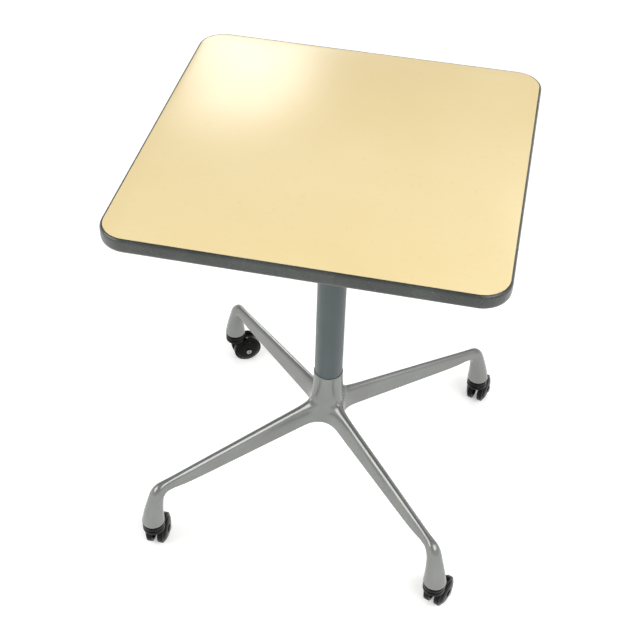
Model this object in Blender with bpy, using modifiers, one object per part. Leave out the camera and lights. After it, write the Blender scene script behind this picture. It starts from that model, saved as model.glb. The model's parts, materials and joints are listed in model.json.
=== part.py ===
"""Rolling side table: a square laminate top on a round column, with a cast four-arm base on casters.

Metres, +Z up. The origin is on the floor under the middle of the column. The top's front faces -Y.
"""

import math

import bmesh
import bpy
from mathutils import Matrix, Vector

# Running and seating clearances between separate pieces
SEAT_GAP = 0.0003
FIT_GAP = 0.0003

# Table top: laminate on a board core, with a thin backing sheet and a barbed vinyl edge
TOP_HEIGHT = 0.661
TOP_SIDE = 0.504
TOP_CORNER_RADIUS = 0.035
LAMINATE_THICKNESS = 0.0012
CORE_THICKNESS = 0.0160
BACKER_THICKNESS = 0.0009
CORNER_STEPS = 5
BAND_HEIGHT = 0.0195
BAND_OVERHANG = 0.0036
BAND_SHOULDER = 0.0050
TONGUE_DEPTH = 0.0105
TONGUE_THICKNESS = 0.0016
BARBS = 2
BARB_PITCH = 0.0032
BARB_HEIGHT = 0.0032

# Spider: the cast bracket that holds the column under the top
SPIDER_REACH = 0.165
SPIDER_PLATE = 0.0045
SPIDER_ROOT_WIDTH = 0.042
SPIDER_TIP_WIDTH = 0.026
SPIDER_RIB_WIDTH = 0.006
SPIDER_RIB_TIP_DEPTH = 0.004
BOSS_DEPTH = 0.038
BOSS_WALL = 0.005
BOSS_CEILING = 0.012
SCREW_INSET = 0.012
SCREW_OFFSET = 0.0085

# Wood screws, head down
SCREW_HEAD_RADIUS = 0.0044
SCREW_HEAD_HEIGHT = 0.0026
SCREW_SHANK_RADIUS = 0.0021
SCREW_BITE = 0.0125
SCREW_POINT = 0.0040

# Column and the rod that clamps it between the base and the spider
COLUMN_RADIUS = 0.0218
COLUMN_WALL = 0.0020
ROD_RADIUS = 0.0048
ROD_STANDOUT = 0.0040
WASHER_RADIUS = 0.0120
WASHER_THICKNESS = 0.0020
NUT_ACROSS_FLATS = 0.0170
NUT_HEIGHT = 0.0080

# Base casting: hub
BASE_TURN = math.radians(-1.84)
FOOT_RADIUS = 0.3161
HUB_RIM_HEIGHT = 0.2410
HUB_RIM_RADIUS = 0.0236
HUB_SOCKET_DEPTH = 0.0380
HUB_WEB_RADIUS = 0.0268
HUB_WEB_HEIGHT = 0.1460
HUB_NECK = 0.0030
HUB_RIDGE_SWEEP = 0.0035
HUB_WEB_SWEEP = 0.0060
HUB_OVERRUN = 0.0080
HUB_FLOOR = 0.0110
NUT_POCKET_RADIUS = 0.0175

# Base casting: arms, whose heights are above the floor
ROOT_REACH = 0.0440
ROOT_RIDGE_HEIGHT = 0.1830
ROOT_UNDERSIDE_HEIGHT = 0.1480
ROOT_RIDGE_HALF_WIDTH = 0.0050
ROOT_UNDERSIDE_HALF_WIDTH = 0.0108
BEND_REACH = 0.2880
BEND_RIDGE_HEIGHT = 0.1450
BEND_UNDERSIDE_HEIGHT = 0.1262
BEND_RIDGE_HALF_WIDTH = 0.0050
BEND_UNDERSIDE_HALF_WIDTH = 0.0088
ARM_STATIONS = 5
BEND_STATIONS = 4
CONE_STATIONS = 3
RIDGE_CREASE = 0.40
UNDERSIDE_CREASE = 0.75
ARM_WALL = 0.0028
ARM_ROOF = 0.0045
POCKET_START = 0.0560
POCKET_END = 0.2860
POCKETS = 3
POCKET_RIB = 0.0030

# Base casting: the cones that the casters plug into
CONE_BOTTOM_HEIGHT = 0.0660
CONE_BOTTOM_RADIUS = 0.0178
CONE_TOP_HEIGHT = 0.1150
CONE_TOP_RADIUS = 0.0122
CONE_LEAN = 0.0082
CONE_LEAN_POWER = 1.6

# Caster sleeve, stem and grip ring
SLEEVE_LENGTH = 0.0280
SLEEVE_BORE_RADIUS = 0.0065
SLEEVE_WALL = 0.0012
SLEEVE_FLANGE_RADIUS = 0.0115
SLEEVE_FLANGE = 0.0012
STEM_RADIUS = 0.0055
STEM_REACH = 0.0245
STEM_SEAT_DEPTH = 0.0120
STEM_FLANGE_RADIUS = 0.0110
STEM_FLANGE = 0.0012
GROOVE_DROP = 0.0050
GROOVE_WIDTH = 0.0030
GROOVE_DEPTH = 0.0012
GRIP_RING_THICKNESS = 0.0016
GRIP_RING_ANGLE = math.radians(320.0)

# Caster wheels, axle and body
WHEEL_RADIUS = 0.0250
WHEEL_SPACING = 0.0092
TREAD_WIDTH = 0.0088
DOME_RISE = 0.0058
DOME_STEPS = 4
DOME_POWER = 3.4
WHEEL_HUB_RADIUS = 0.0072
WHEEL_HUB_STEP = 0.0006
WHEEL_RIM_DEPTH = 0.0045
WHEEL_SHOULDER = 0.0020
TRAIL = 0.0195
AXLE_RADIUS = 0.0028
AXLE_HEAD_RADIUS = 0.0045
AXLE_HEAD = 0.0012
AXLE_EYE_RADIUS = 0.0017
AXLE_EYE_DEPTH = 0.0060
COLLAR_RADIUS = 0.0173
COLLAR_HEIGHT = 0.0160
COLLAR_TAPER = 0.0045
RIB_COUNT = 2
RIB_GROOVE = 0.0012
ARCH_GAP = 0.0012
WEB_GAP = 0.0008
FENDER_INSET = 0.0020
AXLE_BOSS_RADIUS = 0.0070

# Heading of each caster's trail at rest, in degrees from +X
CASTER_HEADINGS = {"front_left": 92.0, "front_right": 69.0, "back_right": 77.0, "back_left": 32.0}
CASTER_QUARTERS = {"front_left": 2, "front_right": 3, "back_right": 0, "back_left": 1}

# Places that follow from the sizes above
CORE_TOP = TOP_HEIGHT - LAMINATE_THICKNESS - SEAT_GAP
CORE_BOTTOM = CORE_TOP - CORE_THICKNESS
BACKER_TOP = CORE_BOTTOM - SEAT_GAP
BACKER_BOTTOM = BACKER_TOP - BACKER_THICKNESS
SPIDER_TOP = BACKER_BOTTOM - SEAT_GAP
SPIDER_UNDERSIDE = SPIDER_TOP - SPIDER_PLATE
BOSS_RADIUS = COLUMN_RADIUS + FIT_GAP + BOSS_WALL
BOSS_SEAT_HEIGHT = SPIDER_TOP - BOSS_CEILING
COLUMN_TOP = BOSS_SEAT_HEIGHT - SEAT_GAP
HUB_SEAT_HEIGHT = HUB_RIM_HEIGHT - HUB_SOCKET_DEPTH
COLUMN_BOTTOM = HUB_SEAT_HEIGHT + SEAT_GAP
POCKET_CEILING = HUB_SEAT_HEIGHT - HUB_FLOOR
ARM_TURN = math.radians(45.0) + BASE_TURN
WHEEL_INNER = WHEEL_SPACING / 2
WHEEL_OUTER = WHEEL_INNER + TREAD_WIDTH + DOME_RISE
STEM_FLANGE_TOP = CONE_BOTTOM_HEIGHT - SEAT_GAP
COLLAR_TOP = STEM_FLANGE_TOP - STEM_FLANGE - SEAT_GAP
COLLAR_BOTTOM = COLLAR_TOP - COLLAR_HEIGHT


def clear_scene():
    for item in list(bpy.data.objects):
        bpy.data.objects.remove(item, do_unlink=True)


def new_collection(name):
    collection = bpy.data.collections.new(name)
    bpy.context.scene.collection.children.link(collection)
    return collection


def new_material(name, colour, roughness, metallic=0.0):
    material = bpy.data.materials.new(name)
    material.use_nodes = True
    shader = material.node_tree.nodes["Principled BSDF"]
    shader.inputs["Base Color"].default_value = (*colour, 1.0)
    shader.inputs["Roughness"].default_value = roughness
    shader.inputs["Metallic"].default_value = metallic
    material.diffuse_color = (*colour, 1.0)
    return material


def lerp(start, end, share):
    return start + (end - start) * share


class Workshop:
    """Keeps the collections and materials, and turns meshes into named pieces and cutters."""

    def __init__(self):
        self.parts = new_collection("rolling_side_table")
        self.cutters = new_collection("cutters")
        self.materials = {
            "laminate": new_material("cream_laminate", (0.85, 0.70, 0.38), 0.32),
            "board": new_material("particle_board", (0.42, 0.29, 0.17), 0.85),
            "backer": new_material("backing_sheet", (0.10, 0.09, 0.08), 0.6),
            "vinyl": new_material("grey_vinyl", (0.085, 0.095, 0.09), 0.38),
            "column": new_material("grey_enamel", (0.115, 0.14, 0.15), 0.4),
            "casting": new_material("satin_aluminium", (0.42, 0.42, 0.40), 0.36, 0.85),
            "bracket": new_material("black_enamel", (0.02, 0.02, 0.02), 0.5),
            "steel": new_material("zinc_steel", (0.55, 0.55, 0.53), 0.35, 1.0),
            "caster": new_material("black_nylon", (0.012, 0.012, 0.011), 0.25),
        }

    def place(self, name, mesh, material, at=(0.0, 0.0, 0.0), parent=None, turn=None):
        piece = bpy.data.objects.new(name, mesh)
        self.parts.objects.link(piece)
        if not mesh.materials:
            mesh.materials.append(self.materials[material])
        piece.location = at
        if turn:
            piece.rotation_euler = turn
        piece.parent = parent
        return piece

    def helper(self, name, mesh, group, at=(0.0, 0.0, 0.0), parent=None):
        """A cutter or a joined shape: a wire that is never rendered, in its own group."""
        tool = bpy.data.objects.new(name, mesh)
        if group not in self.cutters.children:
            self.cutters.children.link(bpy.data.collections.new(group))
        self.cutters.children[group].objects.link(tool)
        tool.hide_render = True
        tool.display_type = "WIRE"
        tool.location = at
        tool.parent = parent
        return tool

    def turn(self, name, profile, steps, material, at=(0.0, 0.0, 0.0), parent=None, turn=None):
        piece = self.place(name, profile_mesh(name, profile), material, at, parent, turn)
        return turn_about_z(piece, steps)

    def combine(self, piece, operation, group):
        modifier = piece.modifiers.new(group, "BOOLEAN")
        modifier.operation = operation
        modifier.operand_type = "COLLECTION"
        modifier.collection = self.cutters.children[group]
        modifier.solver = "EXACT"

    def cut(self, piece, group):
        self.combine(piece, "DIFFERENCE", group)

    def join(self, piece, group):
        self.combine(piece, "UNION", group)


def mesh_from(name, bm, smooth_below=math.radians(35)):
    """Stores a finished bmesh with outward faces, shaded smooth across shallow edges."""
    bmesh.ops.recalc_face_normals(bm, faces=bm.faces)
    mesh = bpy.data.meshes.new(name)
    bm.to_mesh(mesh)
    bm.free()
    mesh.shade_smooth()
    mesh.set_sharp_from_angle(angle=smooth_below)
    return mesh


def cylinder(name, radius, bottom, top, sides, centre=(0.0, 0.0), tip_radius=None):
    bm = bmesh.new()
    bmesh.ops.create_cone(
        bm,
        cap_ends=True,
        segments=sides,
        radius1=radius,
        radius2=radius if tip_radius is None else tip_radius,
        depth=top - bottom,
        matrix=Matrix.Translation((centre[0], centre[1], (top + bottom) / 2)),
    )
    return mesh_from(name, bm)


def block(name, low, high):
    bm = bmesh.new()
    low, high = Vector(low), Vector(high)
    size = high - low
    matrix = Matrix.Translation((low + high) / 2) @ Matrix.Diagonal((*size, 1.0))
    bmesh.ops.create_cube(bm, size=1.0, matrix=matrix)
    return mesh_from(name, bm)


def profile_mesh(name, profile):
    """The edges of a (radius, height) profile down its outer side, closed if it starts off the axis."""
    bm = bmesh.new()
    points = [bm.verts.new((radius, 0.0, height)) for radius, height in profile]
    for upper, lower in zip(points, points[1:]):
        bm.edges.new((upper, lower))
    if profile[0][0] > 0.0:
        bm.edges.new((points[-1], points[0]))
    mesh = bpy.data.meshes.new(name)
    bm.to_mesh(mesh)
    bm.free()
    return mesh


def turn_about_z(piece, steps):
    """Revolves a piece's profile into a solid."""
    screw = piece.modifiers.new("turned", "SCREW")
    screw.axis = "Z"
    screw.angle = math.tau
    screw.steps = steps
    screw.render_steps = steps
    screw.use_merge_vertices = True
    screw.merge_threshold = 1e-6
    screw.use_smooth_shade = True
    return piece


def rounded_slab(name, side, corner_radius, bottom, top):
    bm = bmesh.new()
    size = Matrix.Diagonal((side, side, top - bottom, 1.0))
    matrix = Matrix.Translation((0, 0, (bottom + top) / 2)) @ size
    bmesh.ops.create_cube(bm, size=1.0, matrix=matrix)
    upright = [e for e in bm.edges if abs(e.verts[0].co.z - e.verts[1].co.z) > (top - bottom) / 2]
    bmesh.ops.bevel(
        bm,
        geom=upright,
        offset=corner_radius,
        segments=CORNER_STEPS,
        affect="EDGES",
        profile=0.5,
        material=-1,
    )
    return mesh_from(name, bm)


def swept_round_the_top(name, profile):
    """Carries a closed profile round the top's rounded square. A profile point is (distance out, height)."""
    bm = bmesh.new()
    half = TOP_SIDE / 2
    straight = TOP_SIDE - 2 * TOP_CORNER_RADIUS
    start = Vector((half, -straight / 2, 0.0))
    points = [bm.verts.new(start + Vector((out, 0.0, height))) for out, height in profile]
    loop = [bm.edges.new((points[i - 1], points[i])) for i in range(len(points))]
    for quarter in range(4):
        turn = Matrix.Rotation(quarter * math.pi / 2, 3, "Z")
        grown = bmesh.ops.extrude_edge_only(bm, edges=loop)["geom"]
        moved = [v for v in grown if isinstance(v, bmesh.types.BMVert)]
        bmesh.ops.translate(bm, verts=moved, vec=turn @ Vector((0.0, straight, 0.0)))
        loop = [e for e in grown if isinstance(e, bmesh.types.BMEdge)]
        spun = bmesh.ops.spin(
            bm,
            geom=loop,
            cent=turn @ Vector((straight / 2, straight / 2, 0.0)),
            axis=(0, 0, 1),
            angle=math.pi / 2,
            steps=CORNER_STEPS,
            use_duplicate=False,
        )
        loop = [e for e in spun["geom_last"] if isinstance(e, bmesh.types.BMEdge)]
    bmesh.ops.remove_doubles(bm, verts=bm.verts, dist=1e-6)
    return mesh_from(name, bm)


def extruded_outline(name, outline, half_thickness):
    """A flat plate across Y from its (x, z) outline."""
    bm = bmesh.new()
    face = bm.faces.new([bm.verts.new((x, -half_thickness, z)) for x, z in outline])
    grown = bmesh.ops.extrude_face_region(bm, geom=[face])["geom"]
    moved = [v for v in grown if isinstance(v, bmesh.types.BMVert)]
    bmesh.ops.translate(bm, verts=moved, vec=(0.0, 2 * half_thickness, 0.0))
    return mesh_from(name, bm)


def tapered_bar(name, root, tip, turn=0.0):
    """A bar along X, turned about Z. Each end is (x, half width above, half width below, top, bottom)."""
    bm = bmesh.new()
    bmesh.ops.create_cube(bm, size=1.0)
    for vert in bm.verts:
        reach, wide_above, wide_below, top, bottom = root if vert.co.x < 0 else tip
        above = vert.co.z > 0
        half_width = wide_above if above else wide_below
        vert.co = (reach, math.copysign(half_width, vert.co.y), top if above else bottom)
    bmesh.ops.rotate(bm, verts=bm.verts, cent=(0, 0, 0), matrix=Matrix.Rotation(turn, 3, "Z"))
    return mesh_from(name, bm)


def polar(radius, angle, height):
    return Vector((radius * math.cos(angle), radius * math.sin(angle), height))


def bezier(start, middle, end, share):
    """A point on the quadratic curve from start to end that is drawn towards middle."""
    return [lerp(lerp(a, b, share), lerp(b, c, share), share) for a, b, c in zip(start, middle, end)]


def arc(centre, radius, start, end, steps):
    """Points on an arc between two angles in degrees."""
    angles = [math.radians(lerp(start, end, i / steps)) for i in range(steps + 1)]
    return [(centre[0] + radius * math.cos(a), centre[1] + radius * math.sin(a)) for a in angles]


def screw_places():
    """Two wood screws beside the rib at each tip of the spider."""
    places = []
    for quarter in range(4):
        turn = Matrix.Rotation(math.radians(45 + 90 * quarter), 3, "Z")
        for side in (-1, 1):
            places.append(turn @ Vector((SPIDER_REACH - SCREW_INSET, side * SCREW_OFFSET, 0.0)))
    return places


def build_top(shop):
    laminate_bottom = TOP_HEIGHT - LAMINATE_THICKNESS
    laminate = rounded_slab("top_laminate", TOP_SIDE, TOP_CORNER_RADIUS, laminate_bottom, TOP_HEIGHT)
    shop.place("top_laminate", laminate, "laminate")
    core = rounded_slab("top_core", TOP_SIDE, TOP_CORNER_RADIUS, CORE_BOTTOM, CORE_TOP)
    core = shop.place("top_core", core, "board")
    backer = rounded_slab("top_backer", TOP_SIDE, TOP_CORNER_RADIUS, BACKER_BOTTOM, BACKER_TOP)
    backer = shop.place("top_backer", backer, "backer")

    band_middle = TOP_HEIGHT - BAND_HEIGHT / 2
    slot_depth = TONGUE_DEPTH + FIT_GAP
    slot_half = BARB_HEIGHT / 2 + FIT_GAP
    slot_low = band_middle - slot_half
    slot_high = band_middle + slot_half
    slot = [
        (-slot_depth, slot_low),
        (-slot_depth, slot_high),
        (BAND_OVERHANG, slot_high),
        (BAND_OVERHANG, slot_low),
    ]
    shop.helper("tongue_slot", swept_round_the_top("tongue_slot", slot), "core_cuts")

    hole_radius = SCREW_SHANK_RADIUS + FIT_GAP
    hole_top = SPIDER_UNDERSIDE + SPIDER_PLATE + SCREW_BITE + SCREW_POINT + SEAT_GAP
    for index, place in enumerate(screw_places()):
        hole = cylinder("pilot_hole", hole_radius, SPIDER_UNDERSIDE, hole_top, 8, place.xy)
        shop.helper(f"core_pilot_{index}", hole, "core_cuts")
        shop.helper(f"backer_pilot_{index}", hole, "backer_cuts")
    shop.cut(core, "core_cuts")
    shop.cut(backer, "backer_cuts")
    build_edge_band(shop, band_middle)


def build_edge_band(shop, band_middle):
    """A crowned vinyl bumper whose barbed tongue is pressed into the slot round the core."""
    upper = []
    for degrees in (90, 60, 30, 0):
        swing = math.radians(degrees)
        out = SEAT_GAP + (BAND_OVERHANG - SEAT_GAP) * math.cos(swing)
        upper.append((out, BAND_HEIGHT / 2 - BAND_SHOULDER * (1 - math.sin(swing))))
    tongue = [(SEAT_GAP, TONGUE_THICKNESS / 2)]
    for barb in range(BARBS):
        root = -BARB_PITCH * (barb + 1)
        tongue += [(root, TONGUE_THICKNESS / 2), (root, BARB_HEIGHT / 2)]
    tongue.append((-TONGUE_DEPTH, TONGUE_THICKNESS / 2))
    half = list(reversed(tongue)) + upper
    profile = half + [(out, -height) for out, height in reversed(half)]
    profile = [(out, band_middle + height) for out, height in profile]
    shop.place("edge_band", swept_round_the_top("edge_band", profile), "vinyl")


def build_spider(shop):
    boss_bottom = SPIDER_UNDERSIDE - BOSS_DEPTH
    boss = cylinder("top_spider", BOSS_RADIUS, boss_bottom, SPIDER_TOP, 32)
    spider = shop.place("top_spider", boss, "bracket")
    for quarter in range(4):
        turn = math.radians(45 + 90 * quarter)
        plate = tapered_bar(
            "spider_plate",
            (COLUMN_RADIUS, SPIDER_ROOT_WIDTH / 2, SPIDER_ROOT_WIDTH / 2, SPIDER_TOP, SPIDER_UNDERSIDE),
            (SPIDER_REACH, SPIDER_TIP_WIDTH / 2, SPIDER_TIP_WIDTH / 2, SPIDER_TOP, SPIDER_UNDERSIDE),
            turn,
        )
        rib_top = SPIDER_UNDERSIDE + SPIDER_PLATE / 2
        rib = tapered_bar(
            "spider_rib",
            (BOSS_RADIUS - BOSS_WALL / 2, SPIDER_RIB_WIDTH / 2, SPIDER_RIB_WIDTH / 2, rib_top, boss_bottom),
            (
                SPIDER_REACH - SCREW_INSET,
                SPIDER_RIB_WIDTH / 2,
                SPIDER_RIB_WIDTH / 2,
                rib_top,
                SPIDER_UNDERSIDE - SPIDER_RIB_TIP_DEPTH,
            ),
            turn,
        )
        shop.helper(f"spider_plate_{quarter}", plate, "spider_arms")
        shop.helper(f"spider_rib_{quarter}", rib, "spider_arms")
    shop.join(spider, "spider_arms")

    bore = cylinder("spider_bore", COLUMN_RADIUS + FIT_GAP, boss_bottom - BOSS_WALL, BOSS_SEAT_HEIGHT, 40)
    shop.helper("spider_bore", bore, "spider_cuts")
    thread_bottom = BOSS_SEAT_HEIGHT - BOSS_WALL
    thread = cylinder("spider_thread", ROD_RADIUS + FIT_GAP, thread_bottom, SPIDER_TOP + BOSS_WALL, 12)
    shop.helper("spider_thread", thread, "spider_cuts")
    for index, place in enumerate(screw_places()):
        hole = cylinder(
            "screw_hole",
            SCREW_SHANK_RADIUS + FIT_GAP,
            SPIDER_UNDERSIDE - SPIDER_RIB_TIP_DEPTH,
            SPIDER_TOP + SPIDER_PLATE,
            8,
            place.xy,
        )
        shop.helper(f"screw_hole_{index}", hole, "spider_cuts")
    shop.cut(spider, "spider_cuts")


def build_screws(shop):
    seat = SPIDER_UNDERSIDE - SEAT_GAP
    shoulder = SPIDER_UNDERSIDE + SPIDER_PLATE + SCREW_BITE
    profile = [
        (0.0, shoulder + SCREW_POINT),
        (SCREW_SHANK_RADIUS, shoulder),
        (SCREW_SHANK_RADIUS, seat),
        (SCREW_HEAD_RADIUS, seat),
        (SCREW_HEAD_RADIUS * 0.7, seat - SCREW_HEAD_HEIGHT),
        (0.0, seat - SCREW_HEAD_HEIGHT),
    ]
    for index, place in enumerate(screw_places(), start=1):
        shop.turn(f"wood_screw_{index}", profile, 8, "steel", at=place)


def build_column(shop):
    inside = COLUMN_RADIUS - COLUMN_WALL
    profile = [
        (COLUMN_RADIUS, COLUMN_TOP),
        (COLUMN_RADIUS, COLUMN_BOTTOM),
        (inside, COLUMN_BOTTOM),
        (inside, COLUMN_TOP),
    ]
    shop.turn("column", profile, 32, "column")


def build_tie_rod(shop):
    """A threaded rod from the spider's ceiling to a nut and washer in the pocket under the hub."""
    washer_top = POCKET_CEILING - SEAT_GAP
    washer_bottom = washer_top - WASHER_THICKNESS
    nut_top = washer_bottom - SEAT_GAP
    nut_bottom = nut_top - NUT_HEIGHT
    rod_top = SPIDER_TOP - SEAT_GAP
    rod_bottom = nut_bottom - ROD_STANDOUT
    rod = [(0.0, rod_top), (ROD_RADIUS, rod_top), (ROD_RADIUS, rod_bottom), (0.0, rod_bottom)]
    shop.turn("tie_rod", rod, 12, "steel")
    hole = ROD_RADIUS + FIT_GAP
    washer = [
        (WASHER_RADIUS, washer_top),
        (WASHER_RADIUS, washer_bottom),
        (hole, washer_bottom),
        (hole, washer_top),
    ]
    shop.turn("tie_rod_washer", washer, 16, "steel")
    nut = NUT_ACROSS_FLATS / 2 / math.cos(math.pi / 6)
    nut_piece = shop.place("tie_rod_nut", cylinder("tie_rod_nut", nut, nut_bottom, nut_top, 6), "steel")
    bore = cylinder("nut_bore", hole, rod_bottom, nut_top + ROD_STANDOUT, 12)
    shop.helper("nut_bore", bore, "nut_cuts")
    shop.cut(nut_piece, "nut_cuts")


# The base casting. Half of an arm's section has five corners: ridge centre and edge, side, lower edge and
# centre. Its cage is smoothed by subdivision, so round sections are drawn larger by what that takes away.
EXTRA_FOR_OCTAGON = 4 / (3 + math.cos(math.pi / 4))
EXTRA_FOR_COLLAR = 4 / (3 + math.cos(math.pi / 8))


def arm_heights(reach):
    """Ridge and underside heights, and their half widths, at a distance from the column's axis."""
    share = (reach - ROOT_REACH) / (BEND_REACH - ROOT_REACH)
    return (
        lerp(ROOT_RIDGE_HEIGHT, BEND_RIDGE_HEIGHT, share),
        lerp(ROOT_UNDERSIDE_HEIGHT, BEND_UNDERSIDE_HEIGHT, share),
        lerp(ROOT_RIDGE_HALF_WIDTH, BEND_RIDGE_HALF_WIDTH, share),
        lerp(ROOT_UNDERSIDE_HALF_WIDTH, BEND_UNDERSIDE_HALF_WIDTH, share),
    )


def channel_section(reach):
    """The arm's half section as (across, above the centre line), and the centre line's height."""
    ridge, underside, ridge_half, underside_half = arm_heights(reach)
    half = (ridge - underside) / 2
    section = [
        (0.0, half),
        (ridge_half, half),
        (lerp(ridge_half, underside_half, 0.55), 0.0),
        (underside_half, -half),
        (0.0, -half),
    ]
    return section, (ridge + underside) / 2


def round_section(radius):
    drawn = radius * EXTRA_FOR_OCTAGON
    return [(drawn * math.sin(i * math.pi / 4), drawn * math.cos(i * math.pi / 4)) for i in range(5)]


def cone_radius(height):
    share = (height - CONE_BOTTOM_HEIGHT) / (CONE_TOP_HEIGHT - CONE_BOTTOM_HEIGHT)
    return lerp(CONE_BOTTOM_RADIUS, CONE_TOP_RADIUS, share)


def cone_lean(share):
    """How far inward the cone's axis stands at a share of its height, and the slope of the axis there."""
    share = max(share, 0.0)
    rise = CONE_TOP_HEIGHT - CONE_BOTTOM_HEIGHT
    slope = CONE_LEAN * CONE_LEAN_POWER * share ** (CONE_LEAN_POWER - 1) / rise
    return CONE_LEAN * share**CONE_LEAN_POWER, slope


def set_section(section, reach, height, tilt):
    """Stands a half section in space. Tilt 0 looks along the arm, and a right angle looks down the cone."""
    along, above = math.sin(tilt), math.cos(tilt)
    return [Vector((reach + up * along, across, height + up * above)) for across, up in section]


def arm_rings():
    """Half sections from the hub along the arm, round the bend, down the cone and past its foot."""
    rings = []
    for i in range(ARM_STATIONS):
        reach = lerp(ROOT_REACH, BEND_REACH, i / (ARM_STATIONS - 1))
        section, height = channel_section(reach)
        rings.append(set_section(section, reach, height, 0.0))
    start_section, start_height = channel_section(BEND_REACH)
    arm_slope = ((rings[0][0].z + rings[0][4].z) / 2 - start_height) / (BEND_REACH - ROOT_REACH)
    lean, lean_slope = cone_lean(1.0)
    cone_top = FOOT_RADIUS - lean
    level = start_height - arm_slope * (cone_top - BEND_REACH)
    corner_height = (level - arm_slope * lean_slope * CONE_TOP_HEIGHT) / (1 - arm_slope * lean_slope)
    corner = cone_top - lean_slope * (corner_height - CONE_TOP_HEIGHT)
    for i in range(1, BEND_STATIONS + 1):
        share = i / BEND_STATIONS
        reach, height = bezier(
            (BEND_REACH, start_height), (corner, corner_height), (cone_top, CONE_TOP_HEIGHT), share
        )
        run = lerp(corner - BEND_REACH, cone_top - corner, share)
        drop = lerp(start_height - corner_height, corner_height - CONE_TOP_HEIGHT, share)
        target = round_section(CONE_TOP_RADIUS)
        blend = share * share * (3 - 2 * share)
        section = [(lerp(a, c, blend), lerp(b, d, blend)) for (a, b), (c, d) in zip(start_section, target)]
        rings.append(set_section(section, reach, height, math.atan2(drop, run)))
    for i in range(1, CONE_STATIONS + 3):
        share = 1 - i / CONE_STATIONS
        height = lerp(CONE_BOTTOM_HEIGHT, CONE_TOP_HEIGHT, share)
        lean, lean_slope = cone_lean(share)
        section = round_section(cone_radius(height))
        rings.append(set_section(section, FOOT_RADIUS - lean, height, math.atan2(1.0, lean_slope)))
    return rings


def web_control(target, neighbour):
    """The cage radius in the plane between two arms that smooths to the target, next to a root corner."""
    across = (neighbour.x + neighbour.y) / math.sqrt(2)
    return (6 * target - 2 * across) / 4


def hub_columns(root):
    """The hub's cage over the ridge, over the ridge's edge and between the arms, from low to high."""
    rim = HUB_RIM_RADIUS * EXTRA_FOR_COLLAR
    neck = HUB_RIM_RADIUS + HUB_NECK
    ridge, edge, side, lower, _ = root
    web = {}
    for level, corner, share in (("edge", edge, 0.88), ("side", side, 0.46), ("lower", lower, 0.0)):
        height = lerp(HUB_WEB_HEIGHT, ridge.z, share)
        web[level] = polar(web_control(HUB_WEB_RADIUS, corner), math.pi / 4, height)
    over_ridge, over_edge, between = [ridge], [edge], [web["edge"]]
    levels = 4
    for i in range(1, levels + 3):
        share = min(i / levels, 1.0)
        above = max(i - levels, 0) * HUB_OVERRUN
        ridge_turn = (neck, ridge.z + HUB_RIDGE_SWEEP)
        web_turn = (neck, ridge.z + HUB_WEB_SWEEP)
        web_start = (HUB_WEB_RADIUS, web["edge"].z)
        r_ridge, z_ridge = bezier((ridge.x, ridge.z), ridge_turn, (rim, HUB_RIM_HEIGHT), share)
        r_web, z_web = bezier(web_start, web_turn, (rim, HUB_RIM_HEIGHT), share)
        angle = lerp(math.atan2(edge.y, edge.x), math.pi / 8, min(1.0, 2.2 * share))
        over_ridge.append(polar(r_ridge, 0.0, z_ridge + above))
        over_edge.append(polar((r_ridge + r_web) / 2, angle, (z_ridge + z_web) / 2 + above))
        between.append(polar(r_web, math.pi / 4, z_web + above))
    return web, over_ridge, over_edge, between


def base_cage():
    """An eighth of the base, mirrored and turned to the four arms, as one coarse closed cage."""
    bm = bmesh.new()
    crease = bm.edges.layers.float.new("crease_edge")
    rings = arm_rings()
    web, over_ridge, over_edge, between = hub_columns(rings[0])
    made = {}

    def vert(point):
        key = tuple(round(c, 7) for c in point)
        if key not in made:
            made[key] = bm.verts.new(point)
        return made[key]

    def face(*points):
        corners = [vert(p) for p in points]
        bm.faces.new(corners)

    for inner, outer in zip(rings, rings[1:]):
        for i in range(4):
            face(inner[i], inner[i + 1], outer[i + 1], outer[i])
    end = rings[-1]
    face(end[0], end[1], end[2], end[3], end[4])
    ridge, edge, side, lower, lower_centre = rings[0]
    face(edge, web["edge"], web["side"], side)
    face(side, web["side"], web["lower"], lower)
    face(lower, web["lower"], Vector((0.0, 0.0, HUB_WEB_HEIGHT)), lower_centre)
    for i in range(len(over_ridge) - 1):
        face(over_ridge[i], over_ridge[i + 1], over_edge[i + 1], over_edge[i])
        face(over_edge[i], over_edge[i + 1], between[i + 1], between[i])
    face(over_ridge[-1], Vector((0.0, 0.0, over_ridge[-1].z)), between[-1], over_edge[-1])

    sharp_rows = ((1, RIDGE_CREASE), (3, UNDERSIDE_CREASE))
    for row, amount in sharp_rows:
        for inner, outer in zip(rings[:ARM_STATIONS], rings[1:ARM_STATIONS]):
            bm.edges.get((vert(inner[row]), vert(outer[row])))[crease] = amount
    bm.edges.get((vert(lower), vert(web["lower"])))[crease] = UNDERSIDE_CREASE

    mirrored = bmesh.ops.duplicate(bm, geom=bm.verts[:] + bm.edges[:] + bm.faces[:])["geom"]
    bmesh.ops.scale(bm, vec=(1, -1, 1), verts=[g for g in mirrored if isinstance(g, bmesh.types.BMVert)])
    bmesh.ops.spin(
        bm,
        geom=bm.verts[:] + bm.edges[:] + bm.faces[:],
        cent=(0, 0, 0),
        axis=(0, 0, 1),
        angle=math.pi * 1.5,
        steps=3,
        use_duplicate=True,
    )
    bmesh.ops.remove_doubles(bm, verts=bm.verts, dist=1e-5)
    return mesh_from("base_casting", bm)


def arm_pocket(start, end, turn):
    """One bay of the hollow under an arm, tapered with it and open below."""
    ends = []
    for reach in (start, end):
        ridge, underside, ridge_half, underside_half = arm_heights(reach)
        roof = ridge - ARM_ROOF
        above = lerp(ridge_half, underside_half, (ridge - roof) / (ridge - underside)) - ARM_WALL
        ends.append((reach, above, underside_half - ARM_WALL, roof, underside - ARM_ROOF))
    return tapered_bar("arm_pocket", ends[0], ends[1], turn)


def foot_centre(quarter):
    return polar(FOOT_RADIUS, ARM_TURN + quarter * math.pi / 2, 0.0)


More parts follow.
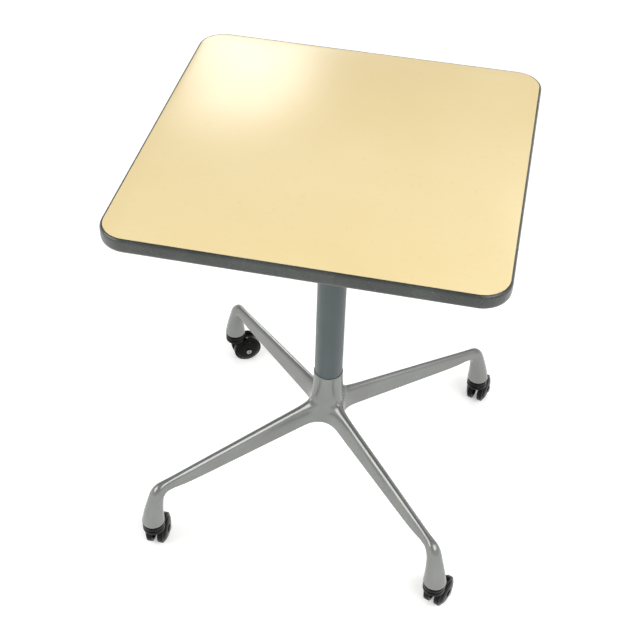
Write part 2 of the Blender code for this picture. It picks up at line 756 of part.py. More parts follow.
def build_base(shop):
    base = shop.place("base_casting", base_cage(), "casting", turn=(0.0, 0.0, ARM_TURN))
    smooth = base.modifiers.new("smooth", "SUBSURF")
    smooth.levels = 1
    smooth.render_levels = 1
    reach = FOOT_RADIUS + 2 * CONE_BOTTOM_RADIUS
    below = block("below_the_feet", (-reach, -reach, 0.0), (reach, reach, CONE_BOTTOM_HEIGHT))
    shop.helper("below_the_feet", below, "base_cuts")
    wide = 2 * HUB_RIM_RADIUS
    above = block("above_the_rim", (-wide, -wide, HUB_RIM_HEIGHT), (wide, wide, HUB_RIM_HEIGHT + wide))
    shop.helper("above_the_rim", above, "base_cuts")
    shop.cut(base, "base_cuts")

    socket = cylinder("column_socket", COLUMN_RADIUS + FIT_GAP, HUB_SEAT_HEIGHT, HUB_RIM_HEIGHT + wide, 40)
    shop.helper("column_socket", socket, "base_bores")
    hole_bottom = POCKET_CEILING - HUB_FLOOR / 2
    rod_hole = cylinder("rod_hole", ROD_RADIUS + FIT_GAP, hole_bottom, HUB_SEAT_HEIGHT + HUB_FLOOR, 12)
    shop.helper("rod_hole", rod_hole, "base_bores")
    nut_pocket = cylinder("nut_pocket", NUT_POCKET_RADIUS, HUB_WEB_HEIGHT - HUB_FLOOR, POCKET_CEILING, 24)
    shop.helper("nut_pocket", nut_pocket, "base_bores")
    bay = (POCKET_END - POCKET_START - (POCKETS - 1) * POCKET_RIB) / POCKETS
    for quarter in range(4):
        for i in range(POCKETS):
            start = POCKET_START + i * (bay + POCKET_RIB)
            pocket = arm_pocket(start, start + bay, ARM_TURN + quarter * math.pi / 2)
            shop.helper(f"arm_pocket_{quarter}_{i}", pocket, "base_bores")
        socket_top = CONE_BOTTOM_HEIGHT + SLEEVE_LENGTH + SEAT_GAP
        place = foot_centre(quarter)
        outer = SLEEVE_BORE_RADIUS + SLEEVE_WALL + FIT_GAP
        bore = cylinder("sleeve_socket", outer, 0.0, socket_top, 16)
        shop.helper(f"sleeve_socket_{quarter}", bore, "base_bores", at=place)
        counterbore_top = CONE_BOTTOM_HEIGHT + SLEEVE_FLANGE + SEAT_GAP
        counterbore = cylinder("flange_seat", SLEEVE_FLANGE_RADIUS + FIT_GAP, 0.0, counterbore_top, 20)
        shop.helper(f"flange_seat_{quarter}", counterbore, "flange_cuts", at=place)
    shop.cut(base, "base_bores")
    shop.cut(base, "flange_cuts")


def build_socket(shop, corner, place):
    """The sleeve pressed into a cone, and the stem that its grip ring holds in it."""
    top = CONE_BOTTOM_HEIGHT + SLEEVE_LENGTH
    flange_top = CONE_BOTTOM_HEIGHT + SLEEVE_FLANGE
    outer = SLEEVE_BORE_RADIUS + SLEEVE_WALL
    sleeve = [
        (outer, top),
        (outer, flange_top),
        (SLEEVE_FLANGE_RADIUS, flange_top),
        (SLEEVE_FLANGE_RADIUS, CONE_BOTTOM_HEIGHT),
        (SLEEVE_BORE_RADIUS, CONE_BOTTOM_HEIGHT),
        (SLEEVE_BORE_RADIUS, top),
    ]
    shop.turn(f"{corner}_socket_sleeve", sleeve, 12, "steel", at=place)

    stem_top = STEM_FLANGE_TOP + STEM_REACH
    groove_top = stem_top - GROOVE_DROP
    groove_bottom = groove_top - GROOVE_WIDTH
    groove_radius = STEM_RADIUS - GROOVE_DEPTH
    chamfer = GROOVE_DEPTH
    stem = [
        (0.0, stem_top),
        (STEM_RADIUS - chamfer, stem_top),
        (STEM_RADIUS, stem_top - chamfer),
        (STEM_RADIUS, groove_top),
        (groove_radius, groove_top),
        (groove_radius, groove_bottom),
        (STEM_RADIUS, groove_bottom),
        (STEM_RADIUS, STEM_FLANGE_TOP),
        (STEM_FLANGE_RADIUS, STEM_FLANGE_TOP),
        (STEM_FLANGE_RADIUS, STEM_FLANGE_TOP - STEM_FLANGE),
        (STEM_RADIUS, STEM_FLANGE_TOP - STEM_FLANGE),
        (STEM_RADIUS, COLLAR_TOP - STEM_SEAT_DEPTH + SEAT_GAP),
        (0.0, COLLAR_TOP - STEM_SEAT_DEPTH + SEAT_GAP),
    ]
    shop.turn(f"{corner}_caster_stem", stem, 10, "steel", at=place)

    bm = bmesh.new()
    inner = groove_radius + FIT_GAP
    outer = inner + GRIP_RING_THICKNESS
    low, high = groove_bottom + SEAT_GAP, groove_top - SEAT_GAP
    section = ((inner, low), (outer, low), (outer, high), (inner, high))
    face = bm.faces.new([bm.verts.new((radius, 0.0, height)) for radius, height in section])
    bmesh.ops.spin(
        bm,
        geom=[face],
        cent=(0, 0, 0),
        axis=(0, 0, 1),
        angle=GRIP_RING_ANGLE,
        steps=8,
        use_duplicate=False,
    )
    shop.place(f"{corner}_grip_ring", mesh_from("grip_ring", bm), "steel", at=place)


def collar_profile():
    """A round neck with ribs cut by shallow grooves, tapered in below."""
    profile = [(0.0, COLLAR_TOP), (COLLAR_RADIUS - RIB_GROOVE, COLLAR_TOP)]
    rib = COLLAR_HEIGHT / RIB_COUNT
    for i in range(RIB_COUNT):
        top = COLLAR_TOP - i * rib
        profile.append((COLLAR_RADIUS, top - RIB_GROOVE))
        profile.append((COLLAR_RADIUS, top - rib + RIB_GROOVE))
        profile.append((COLLAR_RADIUS - RIB_GROOVE, top - rib))
    profile.append((COLLAR_RADIUS - COLLAR_TAPER - RIB_GROOVE, COLLAR_BOTTOM - COLLAR_TAPER))
    profile.append((0.0, COLLAR_BOTTOM - COLLAR_TAPER))
    return profile


def web_outline():
    """The plate between the wheels: under the collar, over the wheels as a fender, and round the axle."""
    axle = (TRAIL, WHEEL_RADIUS)
    front = -(COLLAR_RADIUS - COLLAR_TAPER - RIB_GROOVE)
    in_collar = COLLAR_BOTTOM + COLLAR_TAPER
    outline = [(front, COLLAR_BOTTOM - COLLAR_TAPER), (front, in_collar), (-front, in_collar)]
    outline += arc(axle, WHEEL_RADIUS - FENDER_INSET, 80, -45, 7)
    outline += arc(axle, AXLE_BOSS_RADIUS, -60, -150, 2)
    return outline


def build_caster_body(shop, corner, pivot):
    body = shop.turn(f"{corner}_caster_body", collar_profile(), 20, "caster", parent=pivot)
    web_half = WHEEL_INNER - WEB_GAP
    tools = f"{corner}_body"
    web = extruded_outline("caster_web", web_outline(), web_half)
    shop.helper(f"{corner}_caster_web", web, f"{tools}_web", parent=pivot)
    shop.join(body, f"{tools}_web")

    reach = WHEEL_OUTER + COLLAR_RADIUS
    axle = (TRAIL, 0.0, WHEEL_RADIUS)
    for side in (-1, 1):
        arch = cylinder("wheel_arch", WHEEL_RADIUS + ARCH_GAP, web_half, reach, 32)
        cutter = shop.helper(f"{corner}_wheel_arch_{side}", arch, f"{tools}_cuts", at=axle, parent=pivot)
        cutter.rotation_euler = (-side * math.pi / 2, 0.0, 0.0)
    seat = COLLAR_TOP - STEM_SEAT_DEPTH
    bore = cylinder("stem_bore", STEM_RADIUS + FIT_GAP, seat, COLLAR_TOP + STEM_SEAT_DEPTH, 16)
    shop.helper(f"{corner}_stem_bore", bore, f"{tools}_cuts", parent=pivot)
    hole = cylinder("axle_hole", AXLE_RADIUS + FIT_GAP, -WHEEL_INNER, WHEEL_INNER, 12)
    hole = shop.helper(f"{corner}_axle_hole", hole, f"{tools}_cuts", at=axle, parent=pivot)
    hole.rotation_euler = (math.pi / 2, 0.0, 0.0)
    shop.cut(body, f"{tools}_cuts")


def wheel_profile():
    """Outward from the hub: a low hub ring, the domed face and the tread, then the hollow inner side."""
    bore = AXLE_RADIUS + FIT_GAP
    rim_inside = WHEEL_RADIUS - WHEEL_RIM_DEPTH
    tread_edge = WHEEL_INNER + TREAD_WIDTH
    face_radius = WHEEL_RADIUS - WHEEL_SHOULDER
    profile = [(bore, WHEEL_OUTER), (WHEEL_HUB_RADIUS, WHEEL_OUTER)]
    for i in range(DOME_STEPS + 1):
        radius = lerp(WHEEL_HUB_RADIUS, face_radius, i / DOME_STEPS)
        rise = (DOME_RISE - WHEEL_HUB_STEP) * (1 - (radius / face_radius) ** DOME_POWER)
        profile.append((radius, tread_edge + rise))
    return profile + [
        (WHEEL_RADIUS, tread_edge - WHEEL_SHOULDER),
        (WHEEL_RADIUS, WHEEL_INNER),
        (rim_inside, WHEEL_INNER),
        (rim_inside, tread_edge - WHEEL_SHOULDER),
        (WHEEL_HUB_RADIUS, tread_edge),
        (WHEEL_HUB_RADIUS, WHEEL_INNER),
        (bore, WHEEL_INNER),
    ]


def build_wheels(shop, corner, pivot):
    axle = (TRAIL, 0.0, WHEEL_RADIUS)
    head_seat = WHEEL_OUTER + SEAT_GAP
    head_end = head_seat + AXLE_HEAD
    eye = head_end - AXLE_EYE_DEPTH
    half = [
        (0.0, eye),
        (AXLE_EYE_RADIUS, eye),
        (AXLE_EYE_RADIUS, head_end),
        (AXLE_HEAD_RADIUS, head_end),
        (AXLE_HEAD_RADIUS, head_seat),
        (AXLE_RADIUS, head_seat),
    ]
    pin = half + [(radius, -along) for radius, along in reversed(half)]
    shop.turn(f"{corner}_axle", pin, 10, "steel", at=axle, parent=pivot, turn=(math.pi / 2, 0.0, 0.0))
    for side, turn in (("left", -math.pi / 2), ("right", math.pi / 2)):
        name = f"{corner}_wheel_{side}"
        shop.turn(name, wheel_profile(), 20, "caster", at=axle, parent=pivot, turn=(turn, 0.0, 0.0))


def build_casters(shop):
    for corner, heading in CASTER_HEADINGS.items():
        place = foot_centre(CASTER_QUARTERS[corner])
        pivot = bpy.data.objects.new(f"{corner}_swivel", None)
        shop.parts.objects.link(pivot)
        pivot.location = place
        pivot.rotation_euler = (0.0, 0.0, math.radians(heading))
        build_socket(shop, corner, place)
        build_caster_body(shop, corner, pivot)
        build_wheels(shop, corner, pivot)


def main():
    clear_scene()
    shop = Workshop()
    build_top(shop)
    build_spider(shop)
    build_screws(shop)
    build_column(shop)
    build_tie_rod(shop)
    build_base(shop)
    build_casters(shop)


main()
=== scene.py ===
"""The looks of a rolling side table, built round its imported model.

Metres, +Z up. The origin is on the floor under the column, and the front edge of the top faces -Y.
"""

import enum
import json
import logging
import math
from collections.abc import Iterable, Sequence
from dataclasses import dataclass, field

import bmesh
import bpy
from mathutils import Matrix, Vector

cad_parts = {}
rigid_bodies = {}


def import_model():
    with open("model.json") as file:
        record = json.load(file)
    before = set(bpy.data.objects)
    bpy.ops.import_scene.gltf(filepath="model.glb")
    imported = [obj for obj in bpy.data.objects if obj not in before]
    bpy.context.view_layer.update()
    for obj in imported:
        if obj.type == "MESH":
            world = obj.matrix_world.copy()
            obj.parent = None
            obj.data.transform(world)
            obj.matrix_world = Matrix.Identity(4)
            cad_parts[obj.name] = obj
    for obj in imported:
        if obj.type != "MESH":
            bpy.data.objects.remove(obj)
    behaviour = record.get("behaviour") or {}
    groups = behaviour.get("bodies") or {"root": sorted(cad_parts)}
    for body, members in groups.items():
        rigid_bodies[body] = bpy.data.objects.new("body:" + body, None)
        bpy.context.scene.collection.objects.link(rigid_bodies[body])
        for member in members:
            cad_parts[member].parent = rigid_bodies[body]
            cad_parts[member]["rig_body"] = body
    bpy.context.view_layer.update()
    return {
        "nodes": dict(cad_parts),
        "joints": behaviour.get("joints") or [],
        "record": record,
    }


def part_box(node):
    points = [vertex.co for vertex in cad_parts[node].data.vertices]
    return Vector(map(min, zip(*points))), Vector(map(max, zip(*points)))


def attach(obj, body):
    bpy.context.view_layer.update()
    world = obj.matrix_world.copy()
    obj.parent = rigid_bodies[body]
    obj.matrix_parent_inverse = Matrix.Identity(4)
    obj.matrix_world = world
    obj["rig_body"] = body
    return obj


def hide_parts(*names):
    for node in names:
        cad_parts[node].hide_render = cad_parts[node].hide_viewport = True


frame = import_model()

LOG = logging.getLogger("rolling_side_table")
PHOTO_PIXELS = 640
MM = 0.001
MERGE_DISTANCE = 0.002 * MM
CENTRE = (0, 0, 0)
UPWARD = (0, 0, 1)
# The largest share of a side that a rounding takes up
ROUNDING_LIMIT = 0.45
# Points in the cage's loops round the hub and round an arm
HUB_SIDES = 16
ARM_SIDES = 8

Colour = tuple[float, float, float, float]
Point = tuple[float, float]
BMesh = bmesh.types.BMesh
BMEdge = bmesh.types.BMEdge
BMVert = bmesh.types.BMVert
Creases = bmesh.types.BMLayerItem
Tree = bpy.types.NodeTree
Socket = bpy.types.NodeSocket


class Slot(enum.Enum):
    """The record's material slots."""

    LAMINATE = "laminate"
    BOARD = "board"
    BACKER = "backer"
    VINYL = "vinyl"
    BRACKET = "bracket"
    COLUMN = "column"
    CASTING = "casting"
    STEEL = "steel"
    CASTER = "caster"


class Side(enum.Enum):
    """A wheel's side of its caster, with the turn about X that points a turned shape outward there."""

    LEFT = ("left", -math.pi / 2)
    RIGHT = ("right", math.pi / 2)


class Corner(enum.Enum):
    """The four feet, by the start of their nodes' names."""

    FRONT_LEFT = "front_left"
    FRONT_RIGHT = "front_right"
    BACK_RIGHT = "back_right"
    BACK_LEFT = "back_left"


def linear(hex_colour: str) -> Colour:
    """Turns an sRGB colour into the linear one that a shader takes.

    Args:
        hex_colour: Six hex digits after a hash sign.

    Returns:
        Linear red, green, blue and an alpha of 1.
    """
    shares = [int(hex_colour[i : i + 2], 16) / 255 for i in (1, 3, 5)]
    curve = [c / 12.92 if c <= 0.04045 else ((c + 0.055) / 1.055) ** 2.4 for c in shares]
    return (curve[0], curve[1], curve[2], 1.0)


def lerp(start: float, end: float, share: float) -> float:
    """The value at a share of the way from start to end."""
    return start + (end - start) * share


def bezier(start: Point, middle: Point, end: Point, share: float) -> Point:
    """A point on the quadratic curve between two points.

    Args:
        start: Where the curve starts.
        middle: The point that it is drawn towards.
        end: Where it ends.
        share: The share of the way along it.

    Returns:
        The point.
    """
    first = [lerp(a, b, share) for a, b in zip(start, middle)]
    second = [lerp(a, b, share) for a, b in zip(middle, end)]
    return lerp(first[0], second[0], share), lerp(first[1], second[1], share)


def polar(radius: float, angle: float, height: float) -> Vector:
    """The point at a radius, angle and height about Z."""
    return Vector((radius * math.cos(angle), radius * math.sin(angle), height))


def rounded(corners: Sequence[Point], radius: float, steps: int = 4) -> list[Point]:
    """Rounds the inner corners of an open outline, and keeps its two ends.

    Args:
        corners: The outline's points.
        radius: How far from a corner its rounding starts. On a short side it starts nearer.
        steps: Straight pieces in each rounding.

    Returns:
        The rounded outline's points.
    """
    line = [corners[0]]
    for before, corner, after in zip(corners, corners[1:], corners[2:]):
        middle = Vector(corner)
        ends = []
        for other in (before, after):
            way = Vector(other) - middle
            ends.append(middle + way.normalized() * min(radius, way.length * ROUNDING_LIMIT))
        line += [bezier(ends[0], corner, ends[1], i / steps) for i in range(steps + 1)]
    line.append(corners[-1])
    return line


def add_node(
    tree: Tree,
    kind: str,
    settings: dict[str, object] | None = None,
    inputs: dict[str | int, object] | None = None,
) -> bpy.types.Node:
    """Adds a node, sets it and links it.

    Args:
        tree: The node tree that it joins.
        kind: The node's type.
        settings: The node's own properties by name.
        inputs: Socket values by name or number. A socket as the value is linked.

    Returns:
        The new node.
    """
    node = tree.nodes.new(kind)
    for name, value in (settings or {}).items():
        setattr(node, name, value)
    for name, value in (inputs or {}).items():
        if isinstance(value, Socket):
            tree.links.new(value, node.inputs[name])
        else:
            node.inputs[name].default_value = value
    return node


def noise(tree: Tree, place: Socket, size_mm: float, detail: float) -> Socket:
    """A noise from 0 to 1, with clouds about the given millimetres wide."""
    inputs = {"Vector": place, "Scale": 1.0 / (size_mm * MM), "Detail": detail}
    return add_node(tree, "ShaderNodeTexNoise", inputs=inputs).outputs["Fac"]


def remapped(
    tree: Tree, value: Socket, span: Point, onto: Point = (0.0, 1.0), smooth: bool = False
) -> Socket:
    """Carries a value's span onto another one, and clamps it.

    Args:
        tree: The node tree.
        value: The value's socket.
        span: The ends of the value's span.
        onto: What the two ends become.
        smooth: Whether the change eases in and out.

    Returns:
        The new value's socket.
    """
    kind = {"interpolation_type": "SMOOTHSTEP" if smooth else "LINEAR"}
    ends = {"From Min": span[0], "From Max": span[1], "To Min": onto[0], "To Max": onto[1]}
    return add_node(tree, "ShaderNodeMapRange", kind, {"Value": value, **ends}).outputs["Result"]


def blended(tree: Tree, amount: Socket, first: object, second: object) -> Socket:
    """Mixes two colours.

    Args:
        tree: The node tree.
        amount: The second colour's share.
        first: A colour, or its socket.
        second: The same of the other one.

    Returns:
        The mixed colour's socket.
    """
    first_colour, second_colour, result = 6, 7, 2
    inputs = {"Factor": amount, first_colour: first, second_colour: second}
    return add_node(tree, "ShaderNodeMix", {"data_type": "RGBA"}, inputs).outputs[result]


def combined(tree: Tree, operation: str, first: object, second: object) -> Socket:
    """A math node's result on two numbers, each a value or a socket."""
    inputs = {0: first, 1: second}
    return add_node(tree, "ShaderNodeMath", {"operation": operation}, inputs).outputs["Value"]


def blank_tree(owner: bpy.types.ID) -> Tree:
    """Turns on the nodes of a material or a world, and empties them.

    Args:
        owner: The material or world.

    Returns:
        Its node tree.
    """
    owner.use_nodes = True
    owner.node_tree.nodes.clear()
    return owner.node_tree


@dataclass(frozen=True)
class Finish:
    """A surface finish: a Principled shader with mottled colour, varying roughness and fine relief."""

    name: str
    colour: str
    mottle: str
    roughness: float
    mottle_mm: float = 60.0
    mottle_detail: float = 3.0
    mottle_range: Point = (0.35, 0.65)
    grain: str = ""
    grain_mm: float = 1.5
    grain_detail: float = 2.0
    grain_range: Point = (0.60, 0.75)
    gloss_swing: float = 0.06
    gloss_mm: float = 18.0
    gloss_detail: float = 4.0
    gloss_range: Point = (0.3, 0.7)
    relief_mm: float = 1.0
    relief_height: float = 0.02
    relief_detail: float = 2.0
    stretch: tuple[float, float, float] = (1.0, 1.0, 1.0)
    metallic: float = 0.0
    specular: float = 0.5
    coat: float = 0.0
    coat_roughness: float = 0.1

    def material(self) -> bpy.types.Material:
        """Builds the finish once, and gives the same material after that.

        Returns:
            The material.
        """
        made = bpy.data.materials.get(self.name)
        if made is not None:
            return made
        made = bpy.data.materials.new(self.name)
        made.diffuse_color = linear(self.colour)
        tree = blank_tree(made)
        place = add_node(tree, "ShaderNodeTexCoord").outputs["Object"]
        scaled = {"Vector": place, "Scale": self.stretch}
        streaks = add_node(tree, "ShaderNodeMapping", inputs=scaled).outputs["Vector"]
        cloud = noise(tree, place, self.gloss_mm, self.gloss_detail)
        swing = (self.roughness - self.gloss_swing, self.roughness + self.gloss_swing)
        inputs = {
            "Base Color": self.colours(tree, place, streaks),
            "Roughness": remapped(tree, cloud, self.gloss_range, swing),
            "Metallic": self.metallic,
            "Specular IOR Level": self.specular,
            "Coat Weight": self.coat,
            "Coat Roughness": self.coat_roughness,
            "Normal": self.relief(tree, streaks),
        }
        shader = add_node(tree, "ShaderNodeBsdfPrincipled", inputs=inputs)
        add_node(tree, "ShaderNodeOutputMaterial", inputs={"Surface": shader.outputs["BSDF"]})
        return made

    def colours(self, tree: Tree, place: Socket, streaks: Socket) -> Socket:
        """Mixes the base colour with broad mottling and, where it is given, a fine grain.

        Args:
            tree: The material's node tree.
            place: Object coordinates.
            streaks: Object coordinates, stretched along the finish's streaks.

        Returns:
            The colour socket.
        """
        broad = noise(tree, place, self.mottle_mm, self.mottle_detail)
        amount = remapped(tree, broad, self.mottle_range, smooth=True)
        colour = blended(tree, amount, linear(self.colour), linear(self.mottle))
        if not self.grain:
            return colour
        fine = noise(tree, streaks, self.grain_mm, self.grain_detail)
        amount = remapped(tree, fine, self.grain_range, smooth=True)
        return blended(tree, amount, colour, linear(self.grain))

    def relief(self, tree: Tree, streaks: Socket) -> Socket:
        """A shallow bump at the finish's own grit.

        Args:
            tree: The material's node tree.
            streaks: Object coordinates, stretched along the finish's streaks.

        Returns:
            The socket of the bumped normal.
        """
        grit = noise(tree, streaks, self.relief_mm, self.relief_detail)
        inputs = {"Height": grit, "Distance": self.relief_height * MM, "Strength": 1.0}
        return add_node(tree, "ShaderNodeBump", inputs=inputs).outputs["Normal"]


# Satin high-pressure laminate: a smooth cream sheet whose suede press plate leaves a soft, wide glare
CREAM_LAMINATE = Finish(
    name="cream_laminate",
    colour="#E9D39C",
    mottle="#ECD8A5",
    roughness=0.25,
    mottle_mm=300.0,
    grain="#E7D099",
    grain_mm=9.0,
    grain_range=(0.55, 1.0),
    gloss_swing=0.02,
    gloss_mm=70.0,
    relief_mm=1.6,
    relief_height=0.008,
)
# Extruded vinyl edging: satin and dark grey-green, with a fine chalky bloom
GREY_VINYL = Finish(
    name="grey_vinyl",
    colour="#2E312E",
    mottle="#404542",
    roughness=0.26,
    mottle_range=(0.30, 0.70),
    grain="#545855",
    grain_mm=2.5,
    grain_range=(0.62, 0.80),
    gloss_swing=0.05,
    relief_mm=2.5,
)
# Blue-grey stove enamel on drawn steel tube: glossy enough for one soft streak, with faint orange peel
COLUMN_ENAMEL = Finish(
    name="blue_grey_enamel",
    colour="#4F5657",
    mottle="#525A5B",
    roughness=0.34,
    mottle_mm=80.0,
    grain="#474E4E",
    grain_mm=3.0,
    grain_range=(0.60, 0.80),
    relief_mm=2.2,
    relief_height=0.012,
    coat=0.05,
    coat_roughness=0.2,
    specular=0.2,
)
# Silver lacquer on a sand-blasted aluminium casting: satin and half metallic, over a faintly wavy skin
SILVER_CASTING = Finish(
    name="silver_lacquered_casting",
    colour="#858784",
    mottle="#818280",
    roughness=0.24,
    mottle_mm=55.0,
    grain="#797A78",
    grain_mm=1.4,
    grain_range=(0.50, 1.0),
    gloss_swing=0.02,
    gloss_mm=25.0,
    relief_mm=3.0,
    relief_height=0.0015,
    metallic=0.55,
)
# Moulded black nylon: half gloss, with a faint dusty bloom in fine specks
BLACK_NYLON = Finish(
    name="black_nylon",
    colour="#070706",
    mottle="#0B0A0A",
    roughness=0.15,
    mottle_mm=12.0,
    grain="#151412",
    grain_mm=1.8,
    grain_range=(0.60, 0.80),
    relief_mm=1.4,
    relief_height=0.03,
    specular=0.11,
)
# Zinc-plated steel: grey metal with a dull, slightly yellow bloom
ZINC_STEEL = Finish(
    name="zinc_plated_steel",
    colour="#A6A59E",
    mottle="#93918A",
    roughness=0.34,
    mottle_mm=8.0,
    gloss_mm=4.0,
    relief_mm=0.8,
    relief_height=0.01,
    metallic=1.0,
)
# Black spray enamel on the cast bracket: satin, over a coarse cast skin
BLACK_ENAMEL = Finish(
    name="black_spray_enamel",
    colour="#1A1A19",
    mottle="#222220",
    roughness=0.5,
    mottle_mm=30.0,
    relief_mm=1.5,
    relief_height=0.06,
)
# Phenolic backing sheet: dark brown and matt, sanded in long streaks
BACKING_SHEET = Finish(
    name="phenolic_backing",
    colour="#4A423B",
    mottle="#554C43",
    roughness=0.62,
    mottle_mm=90.0,
    grain="#63594E",
    grain_mm=3.0,
    grain_range=(0.55, 0.75),
    relief_mm=3.0,
    relief_height=0.03,
    stretch=(1.0, 0.06, 1.0),
)
# Particle board: pressed chips of pale wood, rough and dry
PARTICLE_BOARD = Finish(
    name="particle_board",
    colour="#B39468",
    mottle="#9E7F55",
    roughness=0.85,
    mottle_mm=4.0,
    grain="#D0B58A",
    grain_mm=2.0,
    grain_range=(0.50, 0.60),
    relief_mm=1.5,
    relief_height=0.3,
)

FINISHES = {
    Slot.LAMINATE: CREAM_LAMINATE,
    Slot.BOARD: PARTICLE_BOARD,
    Slot.BACKER: BACKING_SHEET,
    Slot.VINYL: GREY_VINYL,
    Slot.BRACKET: BLACK_ENAMEL,
    Slot.COLUMN: COLUMN_ENAMEL,
    Slot.CASTING: SILVER_CASTING,
    Slot.STEEL: ZINC_STEEL,
    Slot.CASTER: BLACK_NYLON,
}


def only(kind: type, items: Iterable) -> list:
    """The items of one kind, such as the vertices among what an operator made."""
    return [item for item in items if isinstance(item, kind)]


def round_pairs(loop: Sequence) -> Iterable[tuple]:
    """Each item of a closed loop with the next one."""
    return zip(loop, [*loop[1:], loop[0]])


def ring(bm: BMesh, points: Sequence[Vector]) -> list[BMVert]:
    """Starts a closed loop of edges.

    Args:
        bm: The mesh.
        points: Where the vertices go.

    Returns:
        The vertices in order.
    """
    made = bmesh.ops.create_circle(bm, segments=len(points), radius=1.0)["verts"]
    for vert, point in zip(made, points):
        vert.co = point
    return list(made)


def grow(bm: BMesh, loop: Sequence[BMVert], points: Iterable[Vector]) -> list[BMVert]:
    """Extrudes a closed loop of vertices, and carries the new loop to the given points.

    Args:
        bm: The mesh.
        loop: The vertices in order round the loop.
        points: Where each new vertex goes, in the same order.

    Returns:
        The new vertices in the same order.
    """
    edges = [bm.edges.get(pair) for pair in round_pairs(loop)]
    fresh = set(only(BMVert, bmesh.ops.extrude_edge_only(bm, edges=edges)["geom"]))
    follow = [next(e.other_vert(v) for e in v.link_edges if e.other_vert(v) in fresh) for v in loop]
    for vert, point in zip(follow, points):
        vert.co = point
    return follow


def eased(bm: BMesh, edges: Sequence[BMEdge], offset: float, segments: int) -> None:
    """Rounds the given edges."""
    bmesh.ops.bevel(
        bm, geom=edges, offset=offset, segments=segments, affect="EDGES", profile=0.5, material=-1
    )


def cleaned(bm: BMesh) -> BMesh:
    """Merges a mesh's doubled vertices, and faces it outward.

    Args:
        bm: The mesh.

    Returns:
        The same mesh.
    """
    bmesh.ops.remove_doubles(bm, verts=bm.verts, dist=MERGE_DISTANCE)
    bmesh.ops.recalc_face_normals(bm, faces=bm.faces)
    return bm


def turned(profile: Sequence[Point], steps: int, closed: bool = False) -> BMesh:
    """Spins a (radius, height) outline once round Z.

    Args:
        profile: The outline. Points at radius 0 close on the axis.
        steps: Faces round the axis.
        closed: Whether the last point joins the first, as in a ring's section.

    Returns:
        The turned mesh, merged and facing outward.
    """
    bm = bmesh.new()
    points = [bm.verts.new((radius, 0.0, height)) for radius, height in profile]
    pairs = round_pairs(points) if closed else zip(points, points[1:])
    geom = points + [bm.edges.new(pair) for pair in pairs]
    bmesh.ops.spin(
        bm, geom=geom, cent=CENTRE, axis=UPWARD, angle=math.tau, steps=steps, use_merge=True
    )
    return cleaned(bm)


def box_between(low: Sequence[float], high: Sequence[float]) -> BMesh:
    """A block between two corners.

    Args:
        low: The corner with the least coordinates.
        high: The opposite corner.

    Returns:
        The closed block.
    """
    bm = bmesh.new()
    middle = (Vector(low) + Vector(high)) / 2
    size = Vector(high) - Vector(low)
    bmesh.ops.create_cube(bm, size=1.0, matrix=Matrix.Translation(middle) @ Matrix.Diagonal((*size, 1.0)))
    return bm


def merged(meshes: Iterable[BMesh]) -> BMesh:
    """Gathers several meshes into one.

    Args:
        meshes: The meshes, which are freed.

    Returns:
        The mesh that holds them all.
    """
    whole = bmesh.new()
    for part in meshes:
        spare = bpy.data.meshes.new("spare")
        part.to_mesh(spare)
        part.free()
        whole.from_mesh(spare)
        bpy.data.meshes.remove(spare)
    return whole


def placed(name: str, data: bpy.types.ID) -> bpy.types.Object:
    """Puts a mesh, a light or a camera in the scene.

    Args:
        name: The name of its object.
        data: The mesh, light or camera.

    Returns:
        The object, at the origin.
    """
    made = bpy.data.objects.new(name, data)
    bpy.context.scene.collection.objects.link(made)
    return made


def as_object(name: str, bm: BMesh) -> bpy.types.Object:
    """Stores a mesh in an object at the origin.

    Args:
        name: The name of the object and of its mesh.
        bm: The mesh, which is freed.

    Returns:
        The object.
    """
    mesh = bpy.data.meshes.new(name)
    bm.to_mesh(mesh)
    bm.free()
    return placed(name, mesh)


def worked(piece: bpy.types.Object, levels: int = 0, cutter: BMesh | None = None) -> bpy.types.Mesh:
    """Subdivides an object's mesh and cuts it.

    Args:
        piece: The object, which keeps its own mesh.
        levels: Levels of subdivision, put on before the cut.
        cutter: A mesh that is cut away, and freed.

    Returns:
        The new mesh.
    """
    if levels:
        smooth = piece.modifiers.new("smooth", "SUBSURF")
        smooth.levels = levels
        smooth.render_levels = levels
    tool = None
    if cutter is not None:
        tool = as_object(f"{piece.name}_cutter", cutter)
        cut = piece.modifiers.new("cut", "BOOLEAN")
        cut.operation = "DIFFERENCE"
        cut.solver = "EXACT"
        cut.object = tool
    bpy.context.view_layer.update()
    graph = bpy.context.evaluated_depsgraph_get()
    mesh = bpy.data.meshes.new_from_object(piece.evaluated_get(graph))
    piece.modifiers.clear()
    if tool is not None:
        bpy.data.objects.remove(tool, do_unlink=True)
    return mesh


def carved(solid: BMesh, cutter: BMesh) -> BMesh:
    """Cuts one closed mesh out of another.

    Args:
        solid: The mesh that is cut, and freed.
        cutter: The mesh that is cut away, and freed.

    Returns:
        What is left.
    """
    body = as_object("carved_body", solid)
    mesh = worked(body, cutter=cutter)
    left = bmesh.new()
    left.from_mesh(mesh)
    bpy.data.objects.remove(body, do_unlink=True)
    bpy.data.meshes.remove(mesh)
    return left


